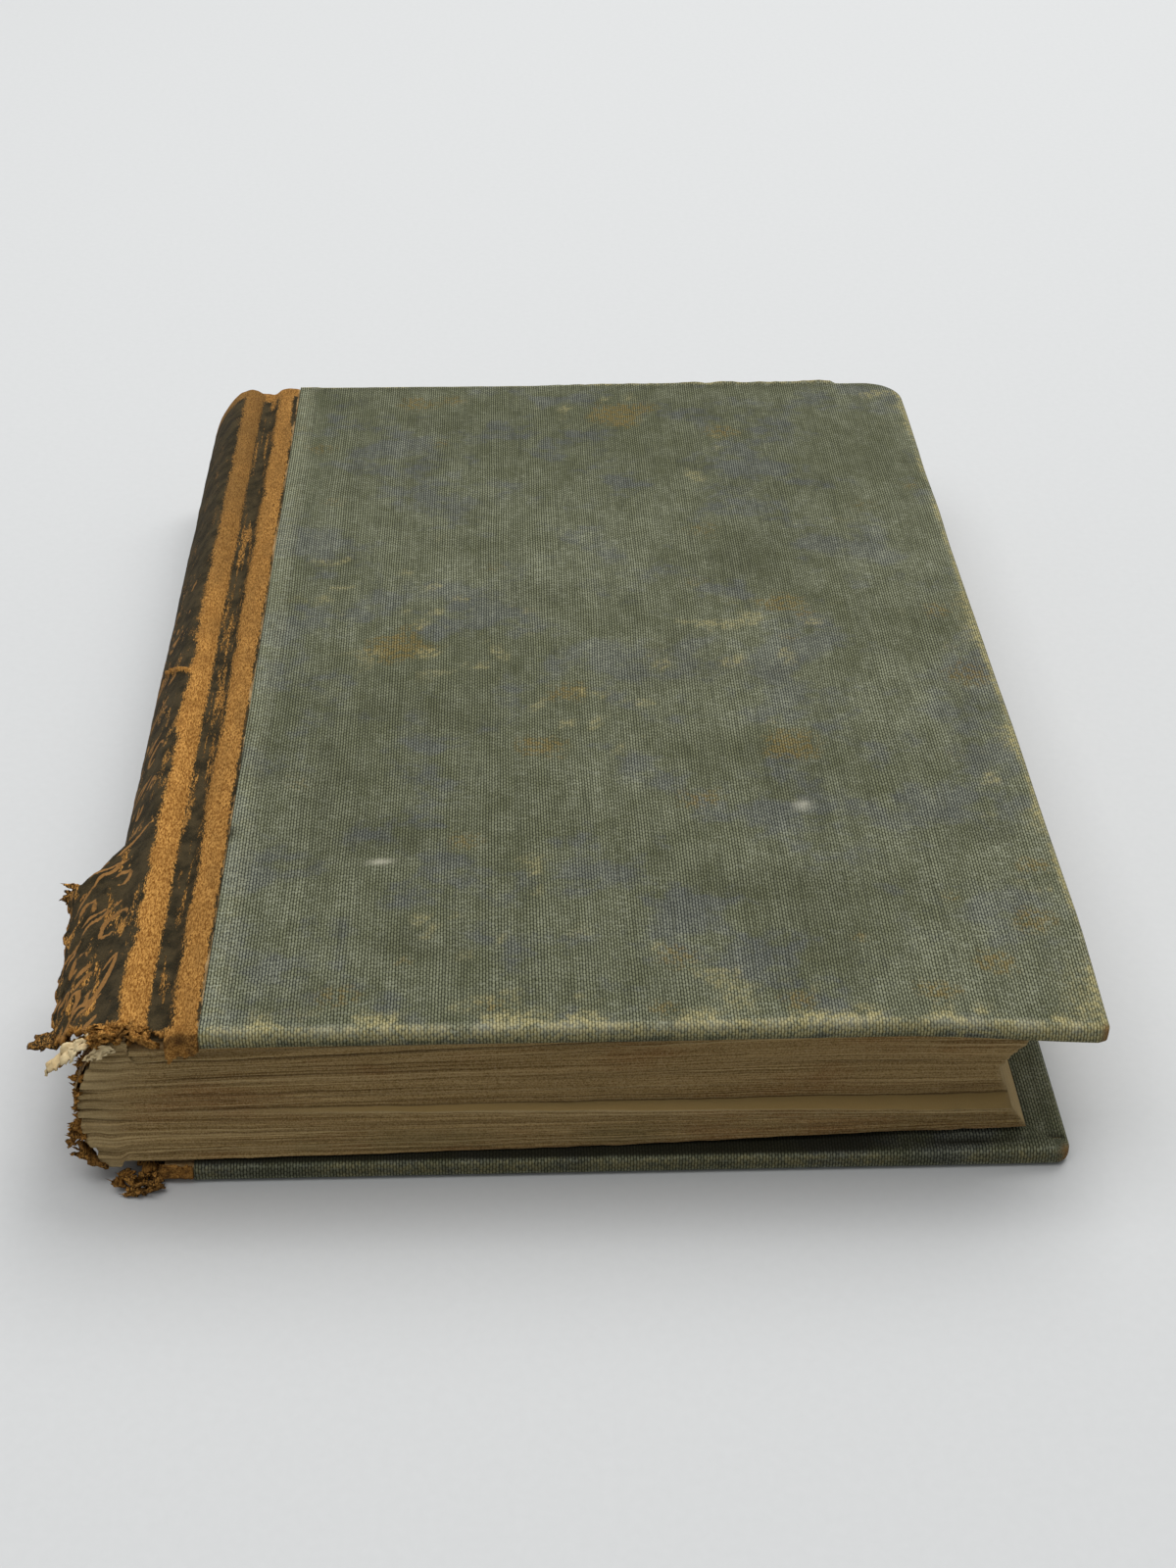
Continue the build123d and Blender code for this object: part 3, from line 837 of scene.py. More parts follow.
def stroke(s, y, points, width):
    """A tapering stroke through the points, each (s, y): 1 on it, 0 away from it."""
    line = smooth_path(points, 0.22)
    at = np.linspace(0, 1, len(line))
    near = np.zeros(np.shape(s))
    low, high = line.min(axis=0) - 1.2, line.max(axis=0) + 1.2
    close = (s > low[0]) & (s < high[0]) & (y > low[1]) & (y < high[1])
    if not close.any():
        return near
    here_s, here_y = s[close], y[close]
    best = np.zeros(here_s.shape)
    for share, (ps, py) in zip(at, line):
        half = width * (0.3 + 0.7 * math.sin(math.pi * share) ** 0.8)
        best = np.maximum(best, fade(np.hypot(here_s - ps, here_y - py), half - 0.12, half + 0.22))
    near[close] = best
    return near


def turned(points, centre, size, slant):
    """Points drawn round the origin, scaled, slanted and moved to a centre."""
    return [
        (centre[0] + size * (u - slant * v), centre[1] + size * v)
        for u, v in points
    ]


def arc_points(reach_s, reach_y, start, stop, shrink=0.0):
    """An arc of an ellipse, drawn in towards its middle by shrink at its far end."""
    points = []
    for share in np.linspace(0, 1, 14):
        angle = start + (stop - start) * share
        reach = 1 - shrink * share
        points.append((reach * reach_s * math.cos(angle), reach * reach_y * math.sin(angle)))
    return points


def spine_tooling(s, y):
    """Traditional scrolls and long leaves over the back, worn to tan. s starts at the ridge."""
    loop = arc_points(1.15, 5.2, 0.5, 6.0)
    hook = arc_points(2.3, 3.6, 2.6, -2.4, shrink=0.5)
    curl = arc_points(2.6, 3.4, 0.3, 5.2, shrink=0.72)
    leaf = [(2.8, -3.6), (1.6, -1.8), (0.6, 0.2), (-1.0, 1.6), (-3.0, 3.4)]
    stem = [(2.2, -4.6), (1.9, -2.0), (-0.4, 0.8), (-1.2, 3.0), (-2.8, 5.0)]
    chance = np.random.default_rng(17)
    near = np.zeros(np.shape(s))
    for centre_y in np.arange(-106.0, 108.0, 12.0):
        for column, centre_s in enumerate((4.6, 10.4, 16.4, 22.6, 28.0)):
            shift = 6.0 * (column % 2) + chance.uniform(-1.5, 1.5)
            size = chance.uniform(0.8, 1.05)
            slant = chance.uniform(0.25, 0.5)
            drawn = (loop, hook, curl, leaf)[(column + round(centre_y / 12.0)) % 4]
            centre = (centre_s, centre_y + shift)
            near = np.maximum(near, stroke(s, y, turned(drawn, centre, size, slant), 0.5))
            beside = (centre_s + 2.4, centre_y + shift + 3.0)
            near = np.maximum(near, stroke(s, y, turned(stem, beside, 0.75 * size, slant), 0.34))
            beside = (centre_s + 3.2, centre_y + shift + 4.2)
            near = np.maximum(near, stroke(s, y, turned(leaf, beside, 0.6 * size, slant + 0.2), 0.4))
    patchy = patches(-0.5, 0.15, s / 3.0, y / 5.0, seed=91)
    return near * (1 - 0.5 * smooth(y, 5, 45)) * patchy * smooth(s, 0.4, 1.4)


def spine_leather():
    """The leather over the back, whole from the head to the tear, then a flap and a remnant."""
    path = spine_path()
    lengths = path_lengths(path)
    ridge_end = lengths[np.argmin(np.hypot(path[:, 0] + 75.6, path[:, 1] - 29.0))]
    pivot = np.array((-75.2, 28.9))
    back_start = lengths[np.argmin(np.hypot(path[:, 0] + 78.8, path[:, 1] - 1.2))]
    hold = ridge_end + 7.5  # the flap and the whole leather are one up to here

    def free_edge(y):
        wander = 0.8 * noise(y / 5.0, seed=101, octaves=3) + 0.5 * noise(y / 0.9, seed=102, octaves=2)
        return ridge_end + FLAP_LENGTH + wander - 2.0 * fade(y, -108, -97)

    def tail_end(s):
        out = np.clip((s - ridge_end) / FLAP_LENGTH, 0, 1)
        wander = 1.4 * noise(s / 2.2, seed=103, octaves=3) + 0.8 * noise(s / 0.5, seed=104)
        return -110.4 + 9.0 * out**1.2 + wander

    def tear(s):
        return FLAP_START + 1.6 * noise(s / 3.0, seed=105, octaves=3) + 0.7 * noise(s / 0.6, seed=106)

    def upper_tear(s):
        out = np.clip((s - hold) / (ridge_end + FLAP_LENGTH - hold), 0, 1)
        return FLAP_START - 12.0 * out**0.8 + 1.3 * noise(s / 1.8, seed=108, octaves=3)

    def present(s, y):
        below = (y < upper_tear(s)) | (s < hold)
        holes = noise(s / 1.5, y / 1.5, seed=110, octaves=3) > 0.66 - 0.2 * smooth(s, hold, ridge_end + 17)
        flap = below & (s < free_edge(y)) & (y > tail_end(s)) & ~(holes & (y < -84) & (s > hold))
        ragged = back_start - 1.0 + 1.6 * noise(y / 4.0, seed=107, octaves=3)
        remnant = (s > ragged) & (y > -106.0 + 1.5 * noise(s / 1.2, seed=109))
        return (y > tear(s)) | flap | remnant

    def nick_at(s, y):
        """The peeled ridge of leather that runs slantwise across the back."""
        along = smooth(s, ridge_end - 2.5, ridge_end) * fade(s, ridge_end + 5, ridge_end + 9)
        return bell(y - (-9.0 + 0.95 * (s - ridge_end)), 0, 0.75) * along

    def place(s, y, point, normal):
        past = np.clip(y - 111.0, 0, None)
        turn = np.minimum(past / 1.3, math.pi / 2)
        depth = 1.3 * (1 - np.cos(turn)) + np.maximum(past - 1.3 * math.pi / 2, 0)
        y_out = np.where(past > 0, 111.0 + 1.3 * np.sin(turn), y)
        flap = (s < free_edge(y) + 0.01) & (y < FLAP_START) & (s < ridge_end + FLAP_LENGTH + 3)
        rise = 0.16 * noise(s / 5, y / 9, seed=111, octaves=3)
        rise += 0.06 * noise(s / 0.9, y / 0.8, seed=112, octaves=2)
        on_ridge = smooth(s, 1.2, 2.6) * fade(s, ridge_end - 0.6, ridge_end + 0.8)
        rise += on_ridge * 0.12 * noise(s / 2, y / 3, seed=116, octaves=3)
        rise += nick_at(s, y) * (0.7 + 0.5 * noise(s / 1.1, y / 1.1, seed=113, octaves=2))
        loose = smooth(s, ridge_end + 2, ridge_end + 8) * flap
        creases = np.abs(noise((s + 0.6 * y) / 2.6, y / 7, seed=117, octaves=3))
        rise += loose * (0.55 * noise(s / 3.2, y / 4.5, seed=118, octaves=3) - 0.8 * creases + 0.2)
        x = point[..., 0] - normal[..., 0] * (depth - rise)
        z = point[..., 1] - normal[..., 1] * (depth - rise)
        # The freed flap swings out round the ridge, most at its upper corner.
        heights = (-112, -104, -97, -87, -75, -68, -62, FLAP_START)
        opened = np.interp(y, heights, (15, 18, 21, 24, 28, 31, 20, 0))
        reach = np.clip((s - ridge_end) / FLAP_LENGTH, 0, 1.1)
        curl = 5.0 * smooth(reach, 0.6, 1.0) * noise(y / 6.0, seed=114, octaves=3)
        angle = -np.radians((opened + curl * (y < -64)) * smooth(reach, 0.0, 0.6) * flap)
        dx, dz = x - pivot[0], z - pivot[1]
        x = pivot[0] + dx * np.cos(angle) - dz * np.sin(angle)
        z = pivot[1] + dx * np.sin(angle) + dz * np.cos(angle)
        shreds = fade(y, -109.5, -104) * (s < ridge_end + 6)
        z = z + 0.55 * shreds * noise(s / 1.2, y / 1.6, seed=115, octaves=3)
        return np.stack((x, y_out, np.maximum(z, 0.05)), -1)

    def layers(s, y, point):
        wander = noise(y / 6, s / 3, seed=121, octaves=4)
        scallop = 0.9 * noise(y / 3.2, seed=125, octaves=3) * (0.35 + 0.65 * fade(y, 0, 40))
        left = ridge_end - 0.3 + scallop
        on_ridge = smooth(s, -0.4, 1.6 + 0.7 * wander) * fade(s, left - 1.9, left + 0.9)
        flap_edge = (y < FLAP_START + 1) * (s > hold)
        torn = np.maximum.reduce([
            fade(np.abs(s - free_edge(y)), 0.2, 1.6) * flap_edge,
            fade(np.abs(y - upper_tear(s)), 0.3, 2.4) * flap_edge,
            fade(np.abs(y - tail_end(s)), 0.4, 3.0),
            fade(np.abs(y - tear(s)), 0.2, 1.8) * (s > hold),
        ])
        back_ridge = smooth(s, back_start, back_start + 1.5)
        scuffs = patches(0.05, 0.55, s / 1.6, (y + s) / 5.0, seed=122, octaves=5)
        flap = (y < FLAP_START) * smooth(s, ridge_end, ridge_end + 2)
        worn = np.maximum.reduce([
            on_ridge * (1.0 + 0.3 * wander),
            0.8 * back_ridge * (1 + 0.3 * wander),
            0.9 * smooth(y, 105.5, 109.0),
            0.85 * torn,
            scuffs * (0.5 + 0.16 * flap - 0.12 * smooth(y, 0, 40)),
            1.2 * nick_at(s, y),
        ])
        tooled = spine_tooling(s - ridge_end, y) * (1 - back_ridge)
        charred = 0.6 * torn * patches(0.1, 0.6, s, y, seed=124, octaves=2)
        return {
            "worn": np.clip(worn, 0, 1.1), "tooled": tooled, "charred": np.clip(charred, 0, 0.8),
            "dulled": 0.8 * smooth(y, -70, 95) + 0.2 * wander,
        }

    piece = sheet("spine_leather_torn", path, spine_rows(), place, present, layers, LEATHER)
    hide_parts("spine_leather")
    return piece


def joint_leather(name, path, side, seed, board_edge):
    """The leather from one groove over the board's edge and under the cloth.

    side is 1 on the front, where the leather faces up, and -1 on the back."""
    lengths = path_lengths(path)
    radius, flange = 1.2, 7.0
    limit = 5.0 if side > 0 else WRAPPED - 0.1  # the front strip's torn end hangs down
    board_tail, board_head = TAIL + radius, HEAD - radius
    steps = np.linspace(0, 1, 20)[1:]
    middle = np.arange(board_tail, board_head, 0.6 if side > 0 else 1.1)
    rows = np.concatenate((board_tail - flange * steps[::-1], middle, board_head + flange * steps))

    def wrap(y):
        """How deep a row lies over the board's end, and where it is along Y."""
        past = np.maximum(np.maximum(y - board_head, board_tail - y), 0)
        turn = np.minimum(past / radius, math.pi / 2)
        depth = radius * (1 - np.cos(turn)) + np.maximum(past - radius * math.pi / 2, 0)
        return depth, np.where(past > 0, np.sign(y) * (board_head + radius * np.sin(turn)), y), past

    def path_x(s):
        return np.interp(s, lengths, path[:, 0])

    def place(s, y, point, normal):
        depth, y_out, past = wrap(y)
        on_board = smooth(point[..., 0], board_edge - 1.6, board_edge + 0.6)
        depth = np.minimum(depth, np.where(y < 0, limit, WRAPPED - 0.1)) * (0.3 + 0.7 * on_board)
        uneven = 0.14 * noise(s / 3, y / 6, seed=seed, octaves=3)
        uneven += 0.06 * noise(s / 0.9, y / 0.9, seed=seed + 1, octaves=2)
        uneven = uneven * smooth(point[..., 0], board_edge - 3.2, board_edge - 2.0)
        crumpled = smooth(-y, 106, 111) * 0.5 * noise(s / 1.4, y / 1.5, seed=seed + 2, octaves=3)
        z = point[..., 1] + side * (uneven + crumpled - depth)
        frill = 0.35 * noise(s / 1.4, y / 1.4, seed=seed + 3, octaves=2)
        return np.stack((point[..., 0], y_out + np.where(past > 1.8, frill, 0), np.maximum(z, 0.02)), -1)

    def present(s, y):
        x = path_x(s)
        groove_end = TAIL + 1.2 + 1.8 * noise(x / 1.2, seed=seed + 6, octaves=2)
        strip_end = board_tail - 4.4 + 2.4 * noise(x / 2.4, seed=seed + 5, octaves=4)
        end = np.where(x < board_edge - 0.4, groove_end, strip_end)
        under_cloth = (x > board_edge + 5.1) & (np.abs(y) > board_head - 0.3)
        return (y > end) & (y < board_head + 5.0) & ~under_cloth

    def layers(s, y, point):
        x = point[..., 0]
        depth, _, past = wrap(y)
        wander = noise(y / 6, x / 2, seed=seed + 8, octaves=4)
        strip = smooth(x, board_edge - 0.8 - 0.6 * wander, board_edge + 1.4 - 0.6 * wander)
        ridge_foot = fade(x, board_edge - 4.2, board_edge - 2.5 + 0.8 * wander)
        shade = 0.3 + 1.0 * smooth(y, 80, 110) + 0.35 * noise(y / 5, seed=seed + 9, octaves=4)
        worn = strip * (0.95 + 0.3 * wander)
        worn = worn * smooth(board_edge + 5.0 - x, shade - 0.5, shade + 0.8)
        streaks = patches(-0.2, 0.5, x / 0.6, y / 9, seed=seed + 10, octaves=4)
        bridge = bell(y - 46, 0, 14) * bell(x - board_edge + 1.2, 0, 1.4)
        patch = smooth(y, 84, 98) * 0.5 + 0.6 * bell(y + 33, 0, 9)
        groove_worn = np.maximum.reduce([
            0.62 * streaks, 0.6 * bridge * streaks, patch * (0.7 * streaks + 0.5 * wander),
        ])
        worn = np.maximum.reduce([
            worn, groove_worn * (1 - strip), 0.95 * ridge_foot,
            0.9 * smooth(y, 106.0, 109.5), 0.9 * smooth(-y, 108.0, 111.0),
        ])
        hole = bell(np.hypot((x - board_edge - 2.2) / 1.3, (y - TAIL + 0.4) / 1.0), 0, 1.1) * (side > 0)
        charred = 0.7 * (past > 0.5) * patches(0.0, 0.5, x / 0.9, y / 0.9, seed=seed + 11, octaves=2)
        charred = np.maximum(charred * (y < 0), 0.85 * hole)
        return {
            "worn": np.clip(worn, 0, 1.1), "tooled": np.zeros_like(x),
            "charred": np.clip(charred, 0, 0.9),
            "dulled": 0.42 + 0.15 * smooth(y, -70, 80) + 0.2 * wander,
        }

    return sheet(name, path, rows, place, present, layers, PARED)


def joint_path(hinge, edge, outside, inward, corner):
    """Section from the hinge to under the cloth; heights run inward from the outside face.

    corner is how far past the board's edge the leather turns down into the groove."""
    turn = edge - corner
    shape = (
        (hinge - 0.8, 1.5), (hinge, 1.55), (turn - 2.0, 1.75), (turn - 1.5, 1.8), (turn - 0.9, 1.6),
        (turn - 0.3, 1.15), (turn + 0.2, 0.7), (turn + 0.75, 0.38), (turn + 1.4, 0.2),
        (edge + 2.4, 0.12), (edge + 3.6, 0.16), (edge + 4.7, 0.38), (edge + 5.3, 0.46),
        (edge + 8.9, 0.46),
    )
    return smooth_path([(x, outside + inward * depth) for x, depth in shape], 0.34)


def front_joint_leather():
    path = joint_path(front_hinge[0], FRONT_EDGE, TOP, -1, -0.2)[::-1]
    piece = joint_leather("front_joint_leather", path, 1, 140, FRONT_EDGE)
    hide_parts("front_leather")
    return piece


def back_joint_leather():
    path = joint_path(back_hinge[0], BACK_EDGE, 0, 1, 0.4)
    piece = joint_leather("back_joint_leather", path, -1, 160, BACK_EDGE)
    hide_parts("back_leather")
    return piece


# ---------------------------------------------------------------- leaves

SPLIT_SHARE = 0.36  # of the rows that lie below the slipped leaves
SECTIONS = 10
LEAF_LINES = 210.0  # leaves' edges that the cut sides show
FRONT_SHOULDER, BACK_SHOULDER = -72.1, -75.1
FORE_LOW, FORE_RISE = 3.7, 22.6  # the fore-edge's lowest height, and its height


def arc_x(z):
    """The left side of the rounded back at a height."""
    inner = SPINE_RADIUS - 1.15
    return SPINE_CENTRE[0] - np.sqrt(np.maximum(inner**2 - (z - SPINE_CENTRE[1]) ** 2, 1.0))


def leaf_lattice(u, q, w):
    """Where a point of the block lies.

    u runs from the back to the fore-edge, q from the bottom leaf to the top one, and w from
    the tail to the head, each from 0 to 1."""
    section = q * SECTIONS
    number = np.minimum(np.floor(section), SECTIONS - 1)
    fold = np.abs(section - number - 0.5) * 2
    cleft = 0.2 + 0.8 * (0.5 + 0.5 * noise(number * 7.3 + (section > number + 0.5) * 3.1, seed=206))
    upper = (q > SPLIT_SHARE + 1e-6) * 1.0
    low_part = np.clip(q / SPLIT_SHARE, 0, 1)
    high_part = np.clip((q - SPLIT_SHARE) / (1 - SPLIT_SHARE), 0, 1)
    x = -80.0 + u * (block_high[0] + 80.0)
    for _ in range(4):  # x and z hang together: the section is hollow at one end and round at the other
        top = page_gap_top - 0.1 - 0.9 * smooth(x, 30, 66)
        shoulder = (block_high[2] - 0.1 - top) * fade(x, FRONT_SHOULDER - 1.2, FRONT_SHOULDER)
        bottom = page_gap_bottom + 0.1 + 0.85 * smooth(x, -25, 64)
        foot = (block_low[2] + 0.1 - bottom) * fade(x, BACK_SHOULDER - 1.6, BACK_SHOULDER)
        split = 14.0 - 4.9 * smooth(x, -95, 75) - 0.7 * smooth(x, 20, 66)
        droop = 0.8 * smooth(x, 35, 70) * np.sin(math.pi * high_part)
        below_split = bottom + (split - bottom) * low_part + foot * (1 - low_part) ** 4
        above_split = split + (top - split) * high_part + shoulder * high_part**5 - droop
        z = np.where(q <= SPLIT_SHARE, below_split, above_split)
        t = (z - FORE_LOW) / FORE_RISE
        below, above = np.clip((0.45 - t) / 0.45, 0, 1), np.clip((t - 0.45) / 0.55, 0, 1)
        fore = 59.4 + 5.1 * below**1.6 + 11.0 * above**1.15
        back = arc_x(z) + 0.9 * fold**3 * cleft
        x = back + (fore - back) * u
    # Towards their folds the sections round off, and their leaves bend down towards the tail.
    near_back = fade(x - back, 0.0, 11.0)
    middle = (number + 0.5) / SECTIONS
    z_middle = np.where(middle <= SPLIT_SHARE, bottom + (split - bottom) * middle / SPLIT_SHARE,
                        split + (top - split) * (middle - SPLIT_SHARE) / (1 - SPLIT_SHARE))
    z = z + (z_middle - z) * 0.34 * near_back**1.6 * fold * cleft
    inner = smooth(q, 0.0, 0.05) * fade(q, 0.95, 1.0)
    z = z + inner * near_back * (0.6 * noise(x / 5, section * 0.5, seed=200, octaves=2) - 0.25)
    z = z + inner * 0.18 * noise(x / 14, q * 7, seed=209, octaves=2)
    # The tail is cut out of square, and the upper leaves have slipped towards the head.
    slip = 0.0275 * np.maximum(x + 69.0, 0) * upper
    tail = -111.3 + 0.0237 * (x + 69.0) + slip
    rough = 0.22 * noise(q * 83, x / 60, seed=201, octaves=2) + 0.16 * noise(q * 240, x / 30, seed=202)
    rough = rough + 0.22 * noise(x / 3, q * 40, seed=203, octaves=4)
    pulled = near_back**1.5 * fold**8 * 1.3 * cleft
    tail = tail + rough + pulled + 0.5 * leaf_gaps(q)
    head = block_high[1] - 0.3 * np.abs(noise(q * 90, x / 50, seed=204, octaves=2))
    y = tail + (head - tail) * w
    # The cut at the fore-edge is rough too.
    at_fore = smooth(u, 0.97, 1.0)
    x = x + at_fore * (0.18 * noise(q * 95, y / 60, seed=205, octaves=2) - 0.3 * leaf_gaps(q))
    return x, y, z


def leaf_gaps(q):
    """1 where two leaves stand a little apart."""
    gaps = (  # place through the block, width, depth
        (0.93, 0.003, 0.8), (0.86, 0.004, 1.0), (0.79, 0.002, 0.6), (0.70, 0.003, 0.7),
        (0.58, 0.003, 0.9), (0.47, 0.002, 0.5), (0.24, 0.003, 0.5), (0.12, 0.003, 0.6),
    )
    return sum(depth * bell(q, place, width) for place, width, depth in gaps)


def leaf_layers(place, q, side, end):
    """The vertex layers of one side: the back or fore-edge ("end"), a "page" or a "cut"."""
    x, y, z = place
    rim = np.minimum(np.minimum(block_high[0] - x, y - block_low[1]), block_high[1] - y)
    at_tail = side == "cut" and end == 0
    on_split = (np.abs(q - SPLIT_SHARE) < 2e-5) * float(at_tail)
    section = q * SECTIONS
    fold = np.abs(section - np.floor(section) - 0.5) * 2
    cleft = 0.5 + 0.5 * noise(np.floor(section) * 7.3, seed=206)
    near_back = fade(x - arc_x(z), 0, 11.0)
    split_line = bell(q, SPLIT_SHARE + 0.006, 0.006) * (1 - on_split) * smooth(x, -80, -60)
    broken = patches(-0.5, 0.3, x / 25, q * 30, seed=212, octaves=2)
    # crevice_shade: painted shade in the clefts between sections near the back, under the slipped leaves
    # and in the gaps between leaves
    crevice_shade = 0.8 * near_back * fold**8 * cleft + 0.8 * split_line + 0.7 * leaf_gaps(q) * broken
    lobes = 0.5 + 0.5 * patches(-0.3, 0.4, x / 6, section * 0.9, seed=210)
    # bright: paler leaves in places and on the fore-edge, and painted highlight on the rounded lobes near
    # the back
    bright = np.maximum.reduce([
        np.full(x.shape, 0.75 if side == "end" and end else 0.0),
        0.85 * bell(q, SPLIT_SHARE - 0.015, 0.009) * smooth(x, -60, -30),
        0.6 * bell(q, SPLIT_SHARE - 0.05, 0.006) * smooth(x, -30, 0),
        0.5 * bell(q, 0.88, 0.004) * smooth(x, -30, 10),
        0.7 * near_back * lobes * (1 - 0.6 * fold**4),
        0.35 * (on_split > 0),
    ])
    red = 0.6 * bell(q, 1.0, 0.012) * smooth(x, 40, 55) + 0.45 * bell(q, 0.0, 0.012) * smooth(x, -75, -20)
    green = 0.8 * bell(q, 0.1, 0.1) * patches(0, 0.5, x / 14, seed=211, octaves=2)
    return {
        "page": np.full(x.shape, float(side == "page")),
        "toned": 0.7 * fade(rim, 0, 14) + 0.15,
        "shelf": on_split * smooth(x, -62, -30),
        "crevice_shade": np.clip(crevice_shade * (side != "page"), 0, 0.9),
        "paler_and_highlit": np.clip(bright, 0, 1),
        "reddened": np.clip(red * (side == "cut"), 0, 1),
        "greened": np.clip(green, 0, 1),
    }


def text_block():
    """The leaves as one closed block, each of its six sides a grid of its own."""
    q_lines = np.concatenate((np.linspace(0, SPLIT_SHARE, 38), np.linspace(SPLIT_SHARE + 1e-5, 1, 66)))
    u_lines = np.concatenate((
        np.linspace(0, 0.1, 26)[:-1], np.linspace(0.1, 0.9, 62)[:-1], np.linspace(0.9, 1, 18),
    ))
    w_lines = np.concatenate((np.linspace(0, 0.03, 6)[:-1], np.linspace(0.03, 1, 80)))
    points, uvs, faces, sides = [], [], [], []
    total = 0
    for axis, end in product(range(3), (0, 1)):
        lines = [u_lines, q_lines, w_lines]
        lines[axis] = np.array([float(end)])
        u, q, w = (a.squeeze(axis) for a in np.meshgrid(*lines, indexing="ij"))
        x, y, z = leaf_lattice(u, q, w)
        quads = grid_faces(np.arange(x.size).reshape(x.shape) + total)
        total += x.size
        faces.append(quads if (axis in (0, 2)) == bool(end) else quads[:, ::-1])
        points.append(np.stack((x, y, z), -1).reshape(-1, 3))
        through = q * LEAF_LINES if axis != 1 else x
        uvs.append(np.stack((x if axis == 2 else y, through), -1).reshape(-1, 2))
        sides.append(leaf_layers((x, y, z), q, ("end", "page", "cut")[axis], end))
    layers = {key: np.concatenate([side[key].ravel() for side in sides]) for key in sides[0]}
    block = make_piece("leaves", np.vstack(points), np.vstack(faces), np.vstack(uvs), layers, merge=0.0005)
    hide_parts("text_block")
    return block


def hinge_paper(name, hinge, z_page, side):
    """The endpaper where it runs from the pastedown, through the joint, onto the leaves."""
    gutter = hinge[0] + 0.25
    half_gap = 0.025
    flat = np.linspace(7.0, 0, 12)
    on_block = [(gutter + d, z_page - side * half_gap) for d in flat]
    turn = [(gutter, z_page + side * half_gap * (k / 7.5 - 1)) for k in range(1, 15)]
    on_cover = [(gutter + d, z_page + side * half_gap) for d in flat[::-1]]
    path = np.array(on_block + turn + on_cover)
    points, index = swept(path, np.linspace(TAIL + 3.2, HEAD - 3.2, 60))
    piece = make_piece(name, points, grid_faces(index))
    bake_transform(piece)
    return piece


def swept(path, y):
    """Points of a path in the XZ plane repeated along y, and the grid of their numbers."""
    shape = (len(path), len(y))
    columns = (path[:, :1], y[None, :], path[:, 1:])
    points = np.stack([np.broadcast_to(c, shape) for c in columns], -1)
    return points, np.arange(points.shape[0] * points.shape[1]).reshape(shape)


# ---------------------------------------------------------------- lining, scraps and crumbs


def spine_lining():
    """The torn paper lining on the rounded back, ragged at the tail."""
    z = np.linspace(lining_low[2], lining_high[2], 64)
    y = np.concatenate((np.arange(-111.6, -50, 0.6), np.arange(-50, 109.0, 3.0)))
    zz, yy = np.meshgrid(z, y, indexing="ij")
    rough = 0.25 * noise(zz / 2.0, yy / 3.0, seed=221, octaves=4)
    rough += 0.12 * noise(zz / 0.6, yy / 0.6, seed=222, octaves=2)
    bare = fade(yy, -60, -54)
    x = arc_x(zz) - 0.12 - bare * (0.28 + np.maximum(rough, -0.2))
    present = yy > -110.8 + 1.4 * noise(zz / 1.6, seed=223, octaves=3)
    torn_away = (noise(zz / 4.0, yy / 6.0, seed=225, octaves=4) > 0.28) & (yy < -62)
    index = np.arange(zz.size).reshape(zz.shape)
    faces = shown_faces(index, present & ~torn_away)[:, ::-1]
    piece = make_piece("spine_lining_torn", np.stack((x, yy, zz), -1), faces)
    thicken(piece, 0.2)
    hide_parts("spine_lining")
    return piece


def crumb_mesh(places, seed):
    """Small torn lumps: (x, y, z, size) each, as points and faces of one mesh."""
    sides, rings = 16, 9
    around = np.linspace(0, 2 * math.pi, sides, endpoint=False)
    theta, phi = np.meshgrid(around, np.linspace(0.12, math.pi - 0.12, rings), indexing="ij")
    d = np.stack((np.sin(phi) * np.cos(theta), np.sin(phi) * np.sin(theta), np.cos(phi)), -1)
    points, faces = [], []
    for number, (cx, cy, cz, size) in enumerate(places):
        lump = 1 + 1.1 * noise(d[..., 0] * 2.2 + number, d[..., 1] * 2.2, d[..., 2] * 2.2,
                               seed=seed + number, octaves=3)
        stretch = 0.6 + 1.3 * lattice(number, 3, 5, seed)
        flat = 0.3 + 0.5 * lattice(number, 9, 2, seed)
        p = d * lump[..., None] * size * np.array((stretch, 1.5 - 0.5 * stretch, flat))
        p[..., 2] += p[..., 0] * (lattice(number, 1, 8, seed) - 0.5) * 1.4
        points.append((p + np.array((cx, cy, cz))).reshape(-1, 3))
        index = np.arange(sides * rings).reshape(sides, rings) + number * sides * rings
        faces.append(grid_faces(np.vstack((index, index[:1]))))
        for column, step in ((index[:, 0], 1), (index[:, -1], -1)):
            cap = [(column[0], column[k], column[k + 1], column[k + 2]) for k in range(1, sides - 2, 2)]
            faces.append(np.array(cap)[:, ::step])
    return np.vstack(points), np.vstack(faces)


def crumbs(name, places, seed, worn):
    """A pile of crumbs of leather, kept between the floor and the cover's top."""
    points, faces = crumb_mesh(places, seed)
    points[:, 2] = np.clip(points[:, 2], 0.0, TOP - 0.1)
    shade = patches(-0.2, 0.5, *points.T, seed=seed, octaves=2)
    layers = {
        "worn": np.full(len(points), worn), "tooled": np.zeros(len(points)),
        "charred": (1 - worn) * shade, "dulled": 0.6 * shade,
    }
    return make_piece(name, points, faces, layers=layers)


